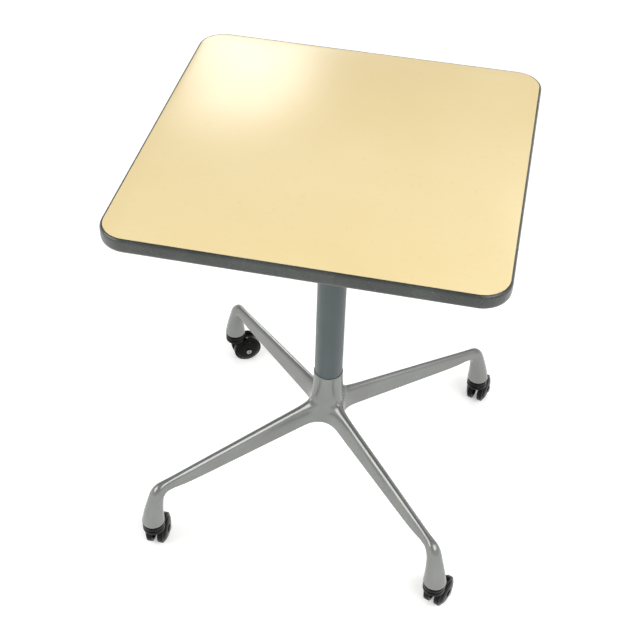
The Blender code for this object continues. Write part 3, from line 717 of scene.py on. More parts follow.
class Assembly:
    """What every sub-assembly shares: the way that a finished mesh becomes a piece on a body."""

    def deliver(
        self,
        name: str,
        bm: BMesh,
        slot: Slot,
        node: str,
        sharp: float,
        levels: int = 0,
        cutter: BMesh | None = None,
    ) -> None:
        """Makes a piece from a mesh that stands in place, and lets it stand for its node.

        Args:
            name: The piece's name.
            bm: Its mesh, which is freed.
            slot: The record's slot that it takes its finish from.
            node: The node that it stands for, and on whose body it rides.
            sharp: Edges over this many degrees stay sharp.
            levels: Levels of subdivision, put on before the cut.
            cutter: A mesh that is cut away.
        """
        piece = as_object(name, bm)
        if levels or cutter is not None:
            piece.data = worked(piece, levels, cutter)
            piece.data.name = name
        piece.data.shade_smooth()
        piece.data.set_sharp_from_angle(angle=math.radians(sharp))
        piece.data.materials.append(FINISHES[slot].material())
        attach(piece, frame["nodes"][node]["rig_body"])
        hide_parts(node)
        LOG.info("%s stands for %s, %d faces", name, node, len(piece.data.polygons))


@dataclass
class TableTop(Assembly):
    """The laminate sheet and the vinyl edging round it."""

    height: float = 0.661
    side: float = 0.504
    corner_radius: float = 0.035
    laminate_thickness: float = 0.0012
    band_height: float = 0.0207
    band_overhang: float = 0.0036
    band_shoulder: float = 0.0058
    tongue_depth: float = 0.0105
    tongue_thickness: float = 0.0016
    seat_gap: float = 0.0003
    corner_steps: int = 24
    sheet_edge: float = 0.0003
    sheet_edge_steps: int = 3
    crown_steps: int = 8

    def build(self) -> None:
        """Builds both pieces."""
        self.deliver("top_sheet", self.sheet(), Slot.LAMINATE, "top_laminate", sharp=50.0)
        self.deliver("edging", self.edging(), Slot.VINYL, "edge_band", sharp=40.0)

    def sheet(self) -> BMesh:
        """The laminate: a slab with round corners and a barely eased upper edge.

        Returns:
            The closed slab.
        """
        half = self.side / 2
        half_thickness = self.laminate_thickness / 2
        low = (-half, -half, self.height - self.laminate_thickness)
        bm = box_between(low, (half, half, self.height))
        upright = [e for e in bm.edges if abs(e.verts[0].co.z - e.verts[1].co.z) > half_thickness]
        eased(bm, upright, self.corner_radius, self.corner_steps)
        upper = [e for e in bm.edges if min(v.co.z for v in e.verts) > self.height - half_thickness]
        eased(bm, upper, self.sheet_edge, self.sheet_edge_steps)
        return bm

    def edging_section(self) -> list[Point]:
        """The edging's section, with its crown and its plain tongue.

        Returns:
            The closed section's points as (distance out, height).
        """
        half = self.band_height / 2
        crown = []
        for i in range(self.crown_steps + 1):
            swing = math.radians(90 - i * 90 / self.crown_steps)
            out = self.seat_gap + (self.band_overhang - self.seat_gap) * math.cos(swing)
            crown.append((out, half - self.band_shoulder * (1 - math.sin(swing))))
        tongue = self.tongue_thickness / 2
        upper = [(-self.tongue_depth, tongue), (self.seat_gap, tongue), *crown]
        section = upper + [(out, -height) for out, height in reversed(upper)]
        middle = self.height - half
        return [(out, middle + height) for out, height in section]

    def edging(self) -> BMesh:
        """The edging's section, carried along each side and round each corner.

        Returns:
            The closed edging.
        """
        bm = bmesh.new()
        half = self.side / 2
        straight = self.side - 2 * self.corner_radius
        points = [bm.verts.new((half + out, -straight / 2, z)) for out, z in self.edging_section()]
        loop = [bm.edges.new((points[i - 1], points[i])) for i in range(len(points))]
        for quarter in range(4):
            turn = Matrix.Rotation(quarter * math.pi / 2, 3, "Z")
            grown = bmesh.ops.extrude_edge_only(bm, edges=loop)["geom"]
            bmesh.ops.translate(bm, verts=only(BMVert, grown), vec=turn @ Vector((0.0, straight, 0.0)))
            pivot = turn @ Vector((straight / 2, straight / 2, 0.0))
            loop = only(BMEdge, grown)
            spun = bmesh.ops.spin(
                bm, geom=loop, cent=pivot, axis=UPWARD, angle=math.pi / 2, steps=self.corner_steps
            )
            loop = only(BMEdge, spun["geom_last"])
        return cleaned(bm)


@dataclass
class Column(Assembly):
    """The enamelled steel tube between the base and the top."""

    radius: float = 0.0218
    wall: float = 0.0020
    edge: float = 0.0004
    steps: int = 96

    def build(self) -> None:
        """Builds the tube between the ends of its node."""
        low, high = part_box("column")
        middle = (high.z + low.z) / 2
        inner = self.radius - self.wall
        corners = [(inner, high.z), (self.radius, high.z), (self.radius, low.z), (inner, low.z)]
        outline = rounded([(inner, middle), *corners, (inner, middle)], self.edge, steps=3)
        tube = turned(outline[:-1], self.steps, closed=True)
        self.deliver("column_tube", tube, Slot.COLUMN, "column", sharp=40.0)


@dataclass
class BaseCasting(Assembly):
    """The cast cross base: a hub with a socket, four ridged arms, and a cone over each caster.

    It is one coarse cage, grown loop by loop and smoothed by subdivision.
    """

    turn: float = math.radians(45.0 - 1.84)
    foot_radius: float = 0.3161
    rim_height: float = 0.2410
    rim_radius: float = 0.0230
    socket_radius: float = 0.0221
    socket_depth: float = 0.0380
    web_radius: float = 0.0274
    web_height: float = 0.1460
    neck: float = 0.0004
    ridge_sweep: float = 0.0085
    web_sweep: float = 0.0060
    web_shares: Sequence[float] = (0.80, 0.52, 0.0)
    side_share: float = 0.25
    hub_levels: int = 4
    rim_crease: float = 0.42
    fillet_reach: float = 0.0325
    fillet_drop: float = 0.0040
    fillet_sweep: float = -0.0020
    root_ridge: float = 0.1846
    root_underside: float = 0.1487
    root_ridge_half: float = 0.0018
    root_shoulder_half: float = 0.0070
    root_underside_half: float = 0.0108
    bend_ridge: float = 0.1450
    bend_underside: float = 0.1262
    bend_ridge_half: float = 0.0020
    bend_shoulder_half: float = 0.0062
    shoulder_drop: float = 0.0043
    root_flare: float = 0.0046
    flare_reach: float = 0.0560
    ridge_rise: float = 0.0016
    rise_reach: float = 0.0200
    bend_underside_half: float = 0.0088
    arm_reaches: Sequence[float] = (0.0365, 0.0520, 0.0800, 0.1400, 0.2150, 0.2880)
    bend_stations: int = 4
    cone_stations: int = 3
    ridge_crease: float = 0.28
    shoulder_crease: float = 0.28
    underside_crease: float = 0.75
    lip_crease: float = 0.9
    cone_bottom: float = 0.0660
    cone_bottom_radius: float = 0.0178
    cone_top: float = 0.1150
    cone_top_radius: float = 0.0122
    cone_top_narrowing: float = 0.93
    cone_lean: float = 0.0082
    cone_lean_power: float = 1.4
    sleeve_hole: float = 0.0080
    sleeve_depth: float = 0.0283
    flange_seat: float = 0.0118
    flange_depth: float = 0.0015
    arm_wall: float = 0.0028
    arm_roof: float = 0.0045
    pocket_start: float = 0.0560
    pocket_end: float = 0.2860
    pockets: int = 3
    pocket_rib: float = 0.0030
    pocket_edge: float = 0.0012
    rod_hole: float = 0.0051
    nut_pocket_radius: float = 0.0175
    hub_floor: float = 0.0110
    levels: int = 3

    @property
    def root_reach(self) -> float:
        """Where the arms leave the hub."""
        return self.arm_reaches[0]

    @property
    def bend_reach(self) -> float:
        """Where the arms start to bend down."""
        return self.arm_reaches[-1]

    def build(self) -> None:
        """Builds the casting as one piece."""
        self.deliver(
            "cross_base",
            self.cage(),
            Slot.CASTING,
            "base_casting",
            sharp=50.0,
            levels=self.levels,
            cutter=merged([self.nut_pocket(), *self.arm_pockets()]),
        )

    @staticmethod
    def drawn(radius: float, sides: int) -> float:
        """The cage radius that subdivision brings in to the wanted one."""
        return radius * 6 / (4 + 2 * math.cos(math.tau / sides))

    def heights(self, reach: float) -> tuple[float, float, float, float]:
        """The arm's main sizes at a distance from the column's axis.

        Args:
            reach: The distance.

        Returns:
            The heights of ridge and underside, and the half widths of shoulder and underside.
        """
        share = (reach - self.root_reach) / (self.bend_reach - self.root_reach)
        return (
            lerp(self.root_ridge, self.bend_ridge, share),
            lerp(self.root_underside, self.bend_underside, share),
            lerp(self.root_shoulder_half, self.bend_shoulder_half, share),
            lerp(self.root_underside_half, self.bend_underside_half, share),
        )

    def channel(self, reach: float) -> tuple[list[Point], float]:
        """The arm's section at a distance from the column's axis.

        Args:
            reach: The distance.

        Returns:
            Eight (across, up) points, and the height of the section's middle.
        """
        ridge, underside, shoulder, low_half = self.heights(reach)
        share = (reach - self.root_reach) / (self.bend_reach - self.root_reach)
        ridge_half = lerp(self.root_ridge_half, self.bend_ridge_half, share)
        flare = self.root_flare * max(0.0, 1 - (reach - self.root_reach) / self.flare_reach) ** 2
        ridge += self.ridge_rise * max(0.0, 1 - (reach - self.root_reach) / self.rise_reach) ** 2
        half = (ridge - underside) / 2
        right = [(ridge_half, half), (shoulder + flare, half - self.shoulder_drop - flare)]
        right.append((low_half, -half))
        left = [(-across, up) for across, up in reversed(right)]
        return [(0.0, half), *right, (0.0, -half), *left], (ridge + underside) / 2

    def circle(self, radius: float, narrowing: float = 1.0) -> list[Point]:
        """A round section in the order of the arm's.

        Args:
            radius: Its radius.
            narrowing: What its width is multiplied by.

        Returns:
            Eight (across, up) points.
        """
        drawn = self.drawn(radius, ARM_SIDES)
        turns = [i * math.tau / ARM_SIDES for i in range(ARM_SIDES)]
        return [(narrowing * drawn * math.sin(a), drawn * math.cos(a)) for a in turns]

    def lean(self, share: float) -> Point:
        """How the cone's axis leans inward.

        Args:
            share: The share of the cone's height, from its foot.

        Returns:
            How far inward the axis stands there, and its slope.
        """
        rise = self.cone_top - self.cone_bottom
        share = max(share, 0.0)
        slope = self.cone_lean * self.cone_lean_power * share ** (self.cone_lean_power - 1) / rise
        return self.cone_lean * share**self.cone_lean_power, slope

    @staticmethod
    def stand(section: Sequence[Point], reach: float, height: float, tilt: float) -> list[Vector]:
        """Stands a section in space: tilt 0 looks along the arm, and a right angle down the cone."""
        along, above = math.sin(tilt), math.cos(tilt)
        return [Vector((reach + up * along, across, height + up * above)) for across, up in section]

    def arm_loops(self) -> list[list[Vector]]:
        """Sections from the root along the arm, round the bend and down the cone to its foot.

        Returns:
            Lists of eight points, for the arm along +X.
        """
        loops = []
        for reach in self.arm_reaches:
            section, height = self.channel(reach)
            loops.append(self.stand(section, reach, height, 0.0))
        start_section, start_height = self.channel(self.bend_reach)
        _, root_height = self.channel(self.root_reach)
        slope = (root_height - start_height) / (self.bend_reach - self.root_reach)
        lean, lean_slope = self.lean(1.0)
        top_reach = self.foot_radius - lean
        level = start_height - slope * (top_reach - self.bend_reach)
        corner_z = (level - slope * lean_slope * self.cone_top) / (1 - slope * lean_slope)
        corner_x = top_reach - lean_slope * (corner_z - self.cone_top)
        for i in range(1, self.bend_stations + 1):
            share = i / self.bend_stations
            reach, height = bezier(
                (self.bend_reach, start_height), (corner_x, corner_z), (top_reach, self.cone_top), share
            )
            run = lerp(corner_x - self.bend_reach, top_reach - corner_x, share)
            drop = lerp(start_height - corner_z, corner_z - self.cone_top, share)
            blend = share * (2 - share)
            pairs = zip(start_section, self.circle(self.cone_top_radius, self.cone_top_narrowing))
            section = [(lerp(a, c, blend), lerp(b, d, blend)) for (a, b), (c, d) in pairs]
            loops.append(self.stand(section, reach, height, math.atan2(drop, run)))
        for i in range(1, self.cone_stations + 1):
            share = 1 - i / self.cone_stations
            height = lerp(self.cone_bottom, self.cone_top, share)
            radius = lerp(self.cone_bottom_radius, self.cone_top_radius, share)
            lean, lean_slope = self.lean(share)
            tilt = math.pi / 2 if share == 0 else math.atan2(1.0, lean_slope)
            oval = self.circle(radius, lerp(1.0, self.cone_top_narrowing, share))
            loops.append(self.stand(oval, self.foot_radius - lean, height, tilt))
        return loops

    def web_radius_at(self, neighbour: Vector) -> float:
        """The cage radius between two arms that smooths to the web's, next to a root corner."""
        across = (neighbour.x + neighbour.y) / math.sqrt(2)
        return (6 * self.web_radius - 2 * across) / 4

    @staticmethod
    def round_the_hub(ridge: Vector, edge: Vector, between: Vector) -> list[Vector]:
        """Points round the hub, from those of one arm.

        Args:
            ridge: The point on the arm's ridge.
            edge: The one on its edge.
            between: The one on the web beside it.

        Returns:
            Sixteen points in order.
        """
        mirrored = Vector((edge.y, edge.x, edge.z))
        turns = [Matrix.Rotation(i * math.pi / 2, 3, "Z") for i in range(4)]
        return [turn @ point for turn in turns for point in (ridge, edge, between, mirrored)]

    def hub_loops(self, root: list[Vector]) -> list[list[Vector]]:
        """The hub's loops of sixteen points from its rim down to the arms' undersides.

        Args:
            root: The arm's first section.

        Returns:
            The loops from high to low.
        """
        ridge, edge, side, lower, lower_middle = root[:5]
        web = []
        for corner, share in zip((edge, side, lower), self.web_shares):
            height = lerp(self.web_height, ridge.z, share)
            web.append(polar(self.web_radius_at(corner), math.pi / 4, height))
        rim = (self.drawn(self.rim_radius, HUB_SIDES), self.rim_height)
        neck = self.rim_radius + self.neck
        fillet = (self.fillet_reach, ridge.z - self.fillet_drop)
        loops = []
        for i in range(self.hub_levels, 0, -1):
            share = i / self.hub_levels
            paths = (
                ((ridge.x, ridge.z), ridge.z + self.ridge_sweep, 0.0),
                (fillet, ridge.z - self.fillet_sweep, math.pi / 8 * min(1.0, 2.0 * share)),
                ((self.web_radius, web[0].z), web[0].z + self.web_sweep, math.pi / 4),
            )
            points = []
            for start, bend_height, angle in paths:
                radius, height = bezier(start, (neck, bend_height), rim, share)
                points.append(polar(radius, angle, height))
            loops.append(self.round_the_hub(*points))
        loops.append(self.round_the_hub(ridge, edge, web[0]))
        loops.append(self.round_the_hub(ridge.lerp(lower_middle, self.side_share), side, web[1]))
        loops.append(self.round_the_hub(lower_middle, lower, web[2]))
        return loops

    @staticmethod
    def crease_round(bm: BMesh, crease: Creases, loop: Sequence[BMVert], amount: float) -> None:
        """Creases the edges of a closed loop of vertices."""
        for pair in round_pairs(loop):
            bm.edges.get(pair)[crease] = amount

    def cage(self) -> BMesh:
        """Grows the whole cage: the socket, the hub, and each arm out of an opening in the hub.

        Returns:
            The closed cage with its creases.
        """
        bm = bmesh.new()
        crease = bm.edges.layers.float.new("crease_edge")
        arm = self.arm_loops()
        wall = self.drawn(self.socket_radius, HUB_SIDES)
        turns = [i * math.tau / HUB_SIDES for i in range(HUB_SIDES)]
        floor = ring(bm, [polar(wall, a, self.rim_height - self.socket_depth) for a in turns])
        bm.faces.new(floor)
        lip = grow(bm, floor, [polar(wall, a, self.rim_height) for a in turns])
        rows = [lip]
        for points in self.hub_loops(arm[0]):
            rows.append(grow(bm, rows[-1], points))
        top, middle, low = rows[-3:]
        centre = bmesh.ops.poke(bm, faces=[bm.faces.new(low)])["verts"][0]
        spokes = [bm.edges.get((centre, low[i])) for i in range(1, HUB_SIDES, 2)]
        bmesh.ops.dissolve_edges(bm, edges=spokes, use_verts=False, use_face_split=False)
        feet = []
        for i in range(4):
            ridge, right, left = 4 * i, 4 * i + 1, (4 * i - 1) % HUB_SIDES
            mouth = [top[ridge], top[right], middle[right], low[right]]
            mouth += [low[ridge], low[left], middle[left], top[left]]
            for side, web in ((right, 4 * i + 2), (left, (4 * i - 2) % HUB_SIDES)):
                bm.edges.get((low[side], low[web]))[crease] = self.underside_crease
            feet.append(self.grow_arm(bm, crease, mouth, arm, i))
        bmesh.ops.delete(bm, geom=[middle[4 * i] for i in range(4)], context="VERTS")
        for loop in (floor, lip, *feet):
            self.crease_round(bm, crease, loop, self.lip_crease)
        self.crease_round(bm, crease, rows[1], self.rim_crease)
        bmesh.ops.recalc_face_normals(bm, faces=bm.faces)
        turn = Matrix.Rotation(self.turn, 3, "Z")
        bmesh.ops.rotate(bm, verts=bm.verts, cent=CENTRE, matrix=turn)
        return bm

    def grow_arm(
        self,
        bm: BMesh,
        crease: Creases,
        mouth: list[BMVert],
        arm: list[list[Vector]],
        quarter: int,
    ) -> list[BMVert]:
        """Grows one arm and its cone out of the hub, and sinks the sleeve's socket in its foot.

        Args:
            bm: The cage.
            crease: Its crease layer.
            mouth: The opening's eight vertices, from the ridge round to the left edge.
            arm: The sections of the arm along +X.
            quarter: Which arm, in quarter turns.

        Returns:
            The loop round the cone's foot.
        """
        turn = Matrix.Rotation(quarter * math.pi / 2, 3, "Z")
        ridge, shoulder, lower = self.ridge_crease, self.shoulder_crease, self.underside_crease
        loop = mouth
        for number, points in enumerate(arm[1:], start=1):
            last = loop
            loop = grow(bm, last, [turn @ point for point in points])
            if number < len(self.arm_reaches):
                fade = min(1.0, (number - 1) / 2)
                right = (ridge * fade, shoulder * fade, lower)
                for row, amount in enumerate((*right, 0.0, *reversed(right)), start=1):
                    bm.edges.get((last[row], loop[row]))[crease] = amount
        foot = loop
        centre = turn @ Vector((self.foot_radius, 0.0, 0.0))
        seat = self.cone_bottom + self.flange_depth
        for radius, height in (
            (self.flange_seat, self.cone_bottom),
            (self.flange_seat, seat),
            (self.sleeve_hole, seat),
            (self.sleeve_hole, self.cone_bottom + self.sleeve_depth),
        ):
            ways = [(vert.co.xy - centre.xy).normalized() * self.drawn(radius, ARM_SIDES) for vert in foot]
            loop = grow(bm, loop, [Vector((centre.x + way.x, centre.y + way.y, height)) for way in ways])
            self.crease_round(bm, crease, loop, 1.0)
        bm.faces.new(loop)
        return foot

    def arm_pockets(self) -> list[BMesh]:
        """The hollows under the arms: tapered bays with ribs between them.

        Returns:
            A cutter for each bay.
        """
        bay = (self.pocket_end - self.pocket_start - (self.pockets - 1) * self.pocket_rib) / self.pockets
        hollows = []
        for quarter in range(4):
            turn = Matrix.Rotation(self.turn + quarter * math.pi / 2, 3, "Z")
            for i in range(self.pockets):
                start = self.pocket_start + i * (bay + self.pocket_rib)
                hollows.append(self.pocket(start, start + bay, turn))
        return hollows

    def pocket(self, start: float, end: float, turn: Matrix) -> BMesh:
        """One bay as a cutter.

        Args:
            start: Its near end, from the column's axis.
            end: Its far end.
            turn: The arm's turn about Z.

        Returns:
            A tapered block with round upright corners.
        """
        bm = bmesh.new()
        bmesh.ops.create_cube(bm, size=1.0)
        for vert in bm.verts:
            reach = start if vert.co.x < 0 else end
            ridge, underside, shoulder_half, low_half = self.heights(reach)
            width, height = low_half, underside - self.arm_roof
            if vert.co.z > 0:
                width = lerp(shoulder_half, low_half, self.arm_roof / (ridge - underside))
                height = ridge - self.arm_roof
            vert.co = (reach, math.copysign(width - self.arm_wall, vert.co.y), height)
        eased(bm, bm.edges[:], self.pocket_edge, segments=2)
        bmesh.ops.rotate(bm, verts=bm.verts, cent=CENTRE, matrix=turn)
        return bm

    def nut_pocket(self) -> BMesh:
        """The round hollow under the hub for the nut, with the rod's hole through its ceiling.

        Returns:
            The hollow as a cutter.
        """
        ceiling = self.rim_height - self.socket_depth - self.hub_floor
        below = self.web_height - self.hub_floor
        above = ceiling + 2 * self.hub_floor
        hole, wall = self.rod_hole, self.nut_pocket_radius
        outline = [(0.0, above), (hole, above), (hole, ceiling)]
        outline += [(wall, ceiling), (wall, below), (0.0, below)]
        return turned(outline, steps=48)


@dataclass
class Caster(Assembly):
    """One twin-wheel caster: a ribbed collar with a web between the wheels, two wheels and their axle."""

    corner: Corner
    wheel_radius: float = 0.0250
    wheel_spacing: float = 0.0092
    tread_width: float = 0.0088
    dome_rise: float = 0.0058
    dome_power: float = 3.4
    hub_radius: float = 0.0072
    hub_step: float = 0.0006
    rim_depth: float = 0.0045
    rim_groove: float = 0.0198
    shoulder: float = 0.0020
    axle_radius: float = 0.0028
    axle_head_radius: float = 0.0045
    axle_head: float = 0.0012
    axle_eye_radius: float = 0.0017
    axle_eye_depth: float = 0.0060
    collar_radius: float = 0.0173
    collar_height: float = 0.0160
    collar_taper: float = 0.0045
    ribs: int = 2
    rib_groove: float = 0.0012
    rib_shape: tuple[float, float, float] = (0.12, 0.80, 0.92)
    stem_bore: float = 0.0058
    stem_seat: float = 0.0120
    web_gap: float = 0.0008
    fender_inset: float = 0.0020
    boss_radius: float = 0.0070
    arch_gap: float = 0.0012
    seat_gap: float = 0.0003
    yoke_edge: float = 0.0007
    pin_edge: float = 0.0005
    hub_edge: float = 0.0004
    face_edge: float = 0.0003
    groove_half: float = 0.0006
    groove_floor_half: float = 0.00025
    groove_depth: float = 0.00035
    past_groove: float = 0.0018
    tread_edge: float = 0.0008
    tread_corner: float = 0.00025
    dome_steps: int = 9
    shoulder_steps: int = 5
    collar_steps: int = 64
    wheel_steps: int = 72
    pin_steps: int = 40
    fender_arc: tuple[float, float, int] = (80.0, -45.0, 20)
    boss_arc: tuple[float, float, int] = (-60.0, -150.0, 8)
    sharp: float = 38.0
    foot: Vector = field(init=False)
    axle: Vector = field(init=False)
    top: float = field(init=False)
    trail: float = field(init=False)
    heading: float = field(init=False)

    def __post_init__(self) -> None:
        """Reads the caster's place and heading from its joints, and its height from its node."""
        joints = {joint["name"]: joint for joint in frame["joints"]}
        self.foot = Vector(joints[f"{self.corner.value}_swivel"]["pos_m"])
        self.axle = Vector(joints[f"{self.corner.value}_left_wheel_spin"]["pos_m"])
        self.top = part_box(f"{self.corner.value}_caster_body")[1].z
        way = (self.axle - self.foot).xy
        self.trail = way.length
        self.heading = math.atan2(way.y, way.x)

    @property
    def web_half(self) -> float:
        """Half the thickness of the web between the wheels."""
        return self.wheel_spacing / 2 - self.web_gap

    def build(self) -> None:
        """Builds the caster's three kinds of piece."""
        name = self.corner.value
        body, axle = f"{name}_caster_body", f"{name}_axle"
        self.deliver(f"{name}_yoke", self.yoke(), Slot.CASTER, body, self.sharp)
        self.deliver(f"{name}_pin", self.pin(), Slot.STEEL, axle, self.sharp)
        for side in Side:
            disc, node = f"{name}_{side.value[0]}_disc", f"{name}_wheel_{side.value[0]}"
            self.deliver(disc, self.wheel(side), Slot.CASTER, node, self.sharp)

    def collar_outline(self) -> list[Point]:
        """The collar's outline down from its flat top: round ribs over a taper.

        Returns:
            The outline's (radius, height) points.
        """
        top = self.top
        bottom = top - self.collar_height
        groove = self.collar_radius - self.rib_groove
        rib = self.collar_height / self.ribs
        start, end, root = self.rib_shape
        outline = [(self.stem_bore, top - self.stem_seat), (self.stem_bore, top)]
        for i in range(self.ribs):
            high = top - i * rib
            outline += [
                (groove, high),
                (self.collar_radius, high - start * rib),
                (self.collar_radius, high - end * rib),
                (groove, high - root * rib),
            ]
        low = bottom - self.collar_taper
        outline += [(groove, bottom), (groove - self.collar_taper, low), (0.0, low)]
        return [(0.0, top - self.stem_seat), *rounded(outline, self.yoke_edge, steps=3)]

    def web_outline(self) -> list[Point]:
        """The web's outline: under the collar, over the wheels as a fender, and round the axle.

        Returns:
            The outline's points as (distance along the heading, height).
        """
        bottom = self.top - self.collar_height
        front = -(self.collar_radius - self.collar_taper - self.rib_groove)
        outline = [(front, bottom - self.collar_taper), (front, bottom + self.collar_taper)]
        outline.append((-front, bottom + self.collar_taper))
        fender = self.wheel_radius - self.fender_inset
        for radius, arc in ((fender, self.fender_arc), (self.boss_radius, self.boss_arc)):
            start, end, steps = arc
            for i in range(steps + 1):
                angle = math.radians(lerp(start, end, i / steps))
                along = self.trail + radius * math.cos(angle)
                outline.append((along, self.axle.z + radius * math.sin(angle)))
        return outline

    def arches(self) -> BMesh:
        """The room that the wheels need in the collar: a disc beside each face of the web.

        Returns:
            Both discs as one cutter.
        """
        radius = self.wheel_radius + self.arch_gap
        inner = self.web_half
        outer = inner + self.collar_radius
        discs = []
        for turn in (math.pi / 2, -math.pi / 2):
            section = [(0.0, inner), (radius, inner), (radius, outer), (0.0, outer)]
            disc = turned(section, self.wheel_steps)
            place = Matrix.Translation((self.trail, 0.0, self.axle.z)) @ Matrix.Rotation(turn, 4, "X")
            bmesh.ops.transform(disc, matrix=place, verts=disc.verts)
            discs.append(disc)
        return merged(discs)

    def yoke(self) -> BMesh:
        """The collar and the web as one moulding, facing the caster's heading.

        Returns:
            The closed moulding in its place.
        """
        collar = carved(turned(self.collar_outline(), self.collar_steps), self.arches())
        web = bmesh.new()
        half = self.web_half
        sheet = web.faces.new([web.verts.new((x, -half, z)) for x, z in self.web_outline()])
        grown = bmesh.ops.extrude_face_region(web, geom=[sheet])["geom"]
        bmesh.ops.translate(web, verts=only(BMVert, grown), vec=(0.0, 2 * half, 0.0))
        bmesh.ops.recalc_face_normals(web, faces=web.faces)
        rims = [e for e in web.edges if abs(e.verts[0].co.y - e.verts[1].co.y) < half]
        eased(web, rims, self.yoke_edge, segments=3)
        whole = merged([collar, web])
        place = Matrix.Translation((self.foot.x, self.foot.y, 0.0))
        bmesh.ops.transform(whole, matrix=place @ Matrix.Rotation(self.heading, 4, "Z"), verts=whole.verts)
        return whole

    def on_the_axle(self, bm: BMesh, turn: float) -> BMesh:
        """Lays a shape that was turned about Z on the axle.

        Args:
            bm: The shape.
            turn: Its turn about X, which brings Z along the axle.

        Returns:
            The same shape.
        """
        place = Matrix.Translation(self.axle) @ Matrix.Rotation(self.heading, 4, "Z")
        bmesh.ops.transform(bm, matrix=place @ Matrix.Rotation(turn, 4, "X"), verts=bm.verts)
        return bm

    def wheel(self, side: Side) -> BMesh:
        """A moulded wheel: a domed face with a groove inside its rim, a round tread and a hollow back.

        Args:
            side: The side of the caster that it is on.

        Returns:
            The closed wheel in its place.
        """
        inner = self.wheel_spacing / 2
        edge = inner + self.tread_width
        outer = edge + self.dome_rise
        bore = self.axle_radius + self.seat_gap
        hub, tread = self.hub_radius, self.wheel_radius
        face = tread - self.shoulder
        rim = tread - self.rim_depth

        def dome(radius: float, sink: float = 0.0) -> Point:
            """A point on the domed face, sunk by a little."""
            rise = (self.dome_rise - self.hub_step) * (1 - (radius / face) ** self.dome_power)
            return radius, edge + rise - sink

        outline = [(bore, outer - self.hub_edge), (bore + self.hub_edge, outer)]
        outline += [(hub - self.hub_edge, outer), (hub, outer - self.face_edge), dome(hub + self.face_edge)]
        groove, half, bottom = self.rim_groove, self.groove_half, self.groove_floor_half
        outline += [dome(lerp(hub, groove - half, i / self.dome_steps)) for i in range(1, self.dome_steps)]
        outline += [dome(groove - half), dome(groove - bottom, self.groove_depth)]
        outline += [dome(groove + bottom, self.groove_depth), dome(groove + half)]
        start, corner, end = dome(face - self.face_edge), (tread, edge), (tread, edge - self.shoulder)
        outline += [dome(groove + self.past_groove), start]
        steps = self.shoulder_steps
        outline += [bezier(start, corner, end, i / steps) for i in range(1, steps + 1)]
        outline += [
            (tread, inner + self.tread_edge),
            (tread - self.tread_corner, inner + self.tread_corner),
            (tread - self.tread_edge, inner),
            (rim, inner),
            (rim, edge - self.shoulder),
            (hub, edge),
            (hub, inner),
            (bore, inner),
        ]
        return self.on_the_axle(turned(outline, self.wheel_steps, closed=True), side.value[1])

    def pin(self) -> BMesh:
        """The hollow-ended axle: a pin with a rolled head over each wheel's hub.

        Returns:
            The closed pin in its place.
        """
        outer = self.wheel_spacing / 2 + self.tread_width + self.dome_rise
        seat = outer + self.seat_gap
        end = seat + self.axle_head
        eye, head, depth = self.axle_eye_radius, self.axle_head_radius, end - self.axle_eye_depth
        corners = [(0.0, depth), (eye, depth), (eye, end), (head, end), (head, seat)]
        corners += [(self.axle_radius, seat), (self.axle_radius, 0.0)]
        half = rounded(corners, self.pin_edge, steps=3)
        outline = half + [(radius, -along) for radius, along in reversed(half[:-1])]
        return self.on_the_axle(turned(outline, self.pin_steps), math.pi / 2)


@dataclass
class Lamp:
    """A rectangular soft box, placed by its direction and distance from the point that it faces."""

    name: str
    azimuth: float
    elevation: float
    distance: float
    width: float
    height: float
    watts: float
    towards: tuple[float, float, float]

    def build(self) -> None:
        """Hangs the lamp."""
        light = bpy.data.lights.new(self.name, "AREA")
        light.shape = "RECTANGLE"
        light.size = self.width
        light.size_y = self.height
        light.energy = self.watts
        lamp = placed(self.name, light)
        turn, rise = math.radians(self.azimuth), math.radians(self.elevation)
        way = polar(math.cos(rise), turn, math.sin(rise))
        lamp.location = Vector(self.towards) + self.distance * way
        lamp.rotation_euler = (-way).to_track_quat("-Z", "Y").to_euler()


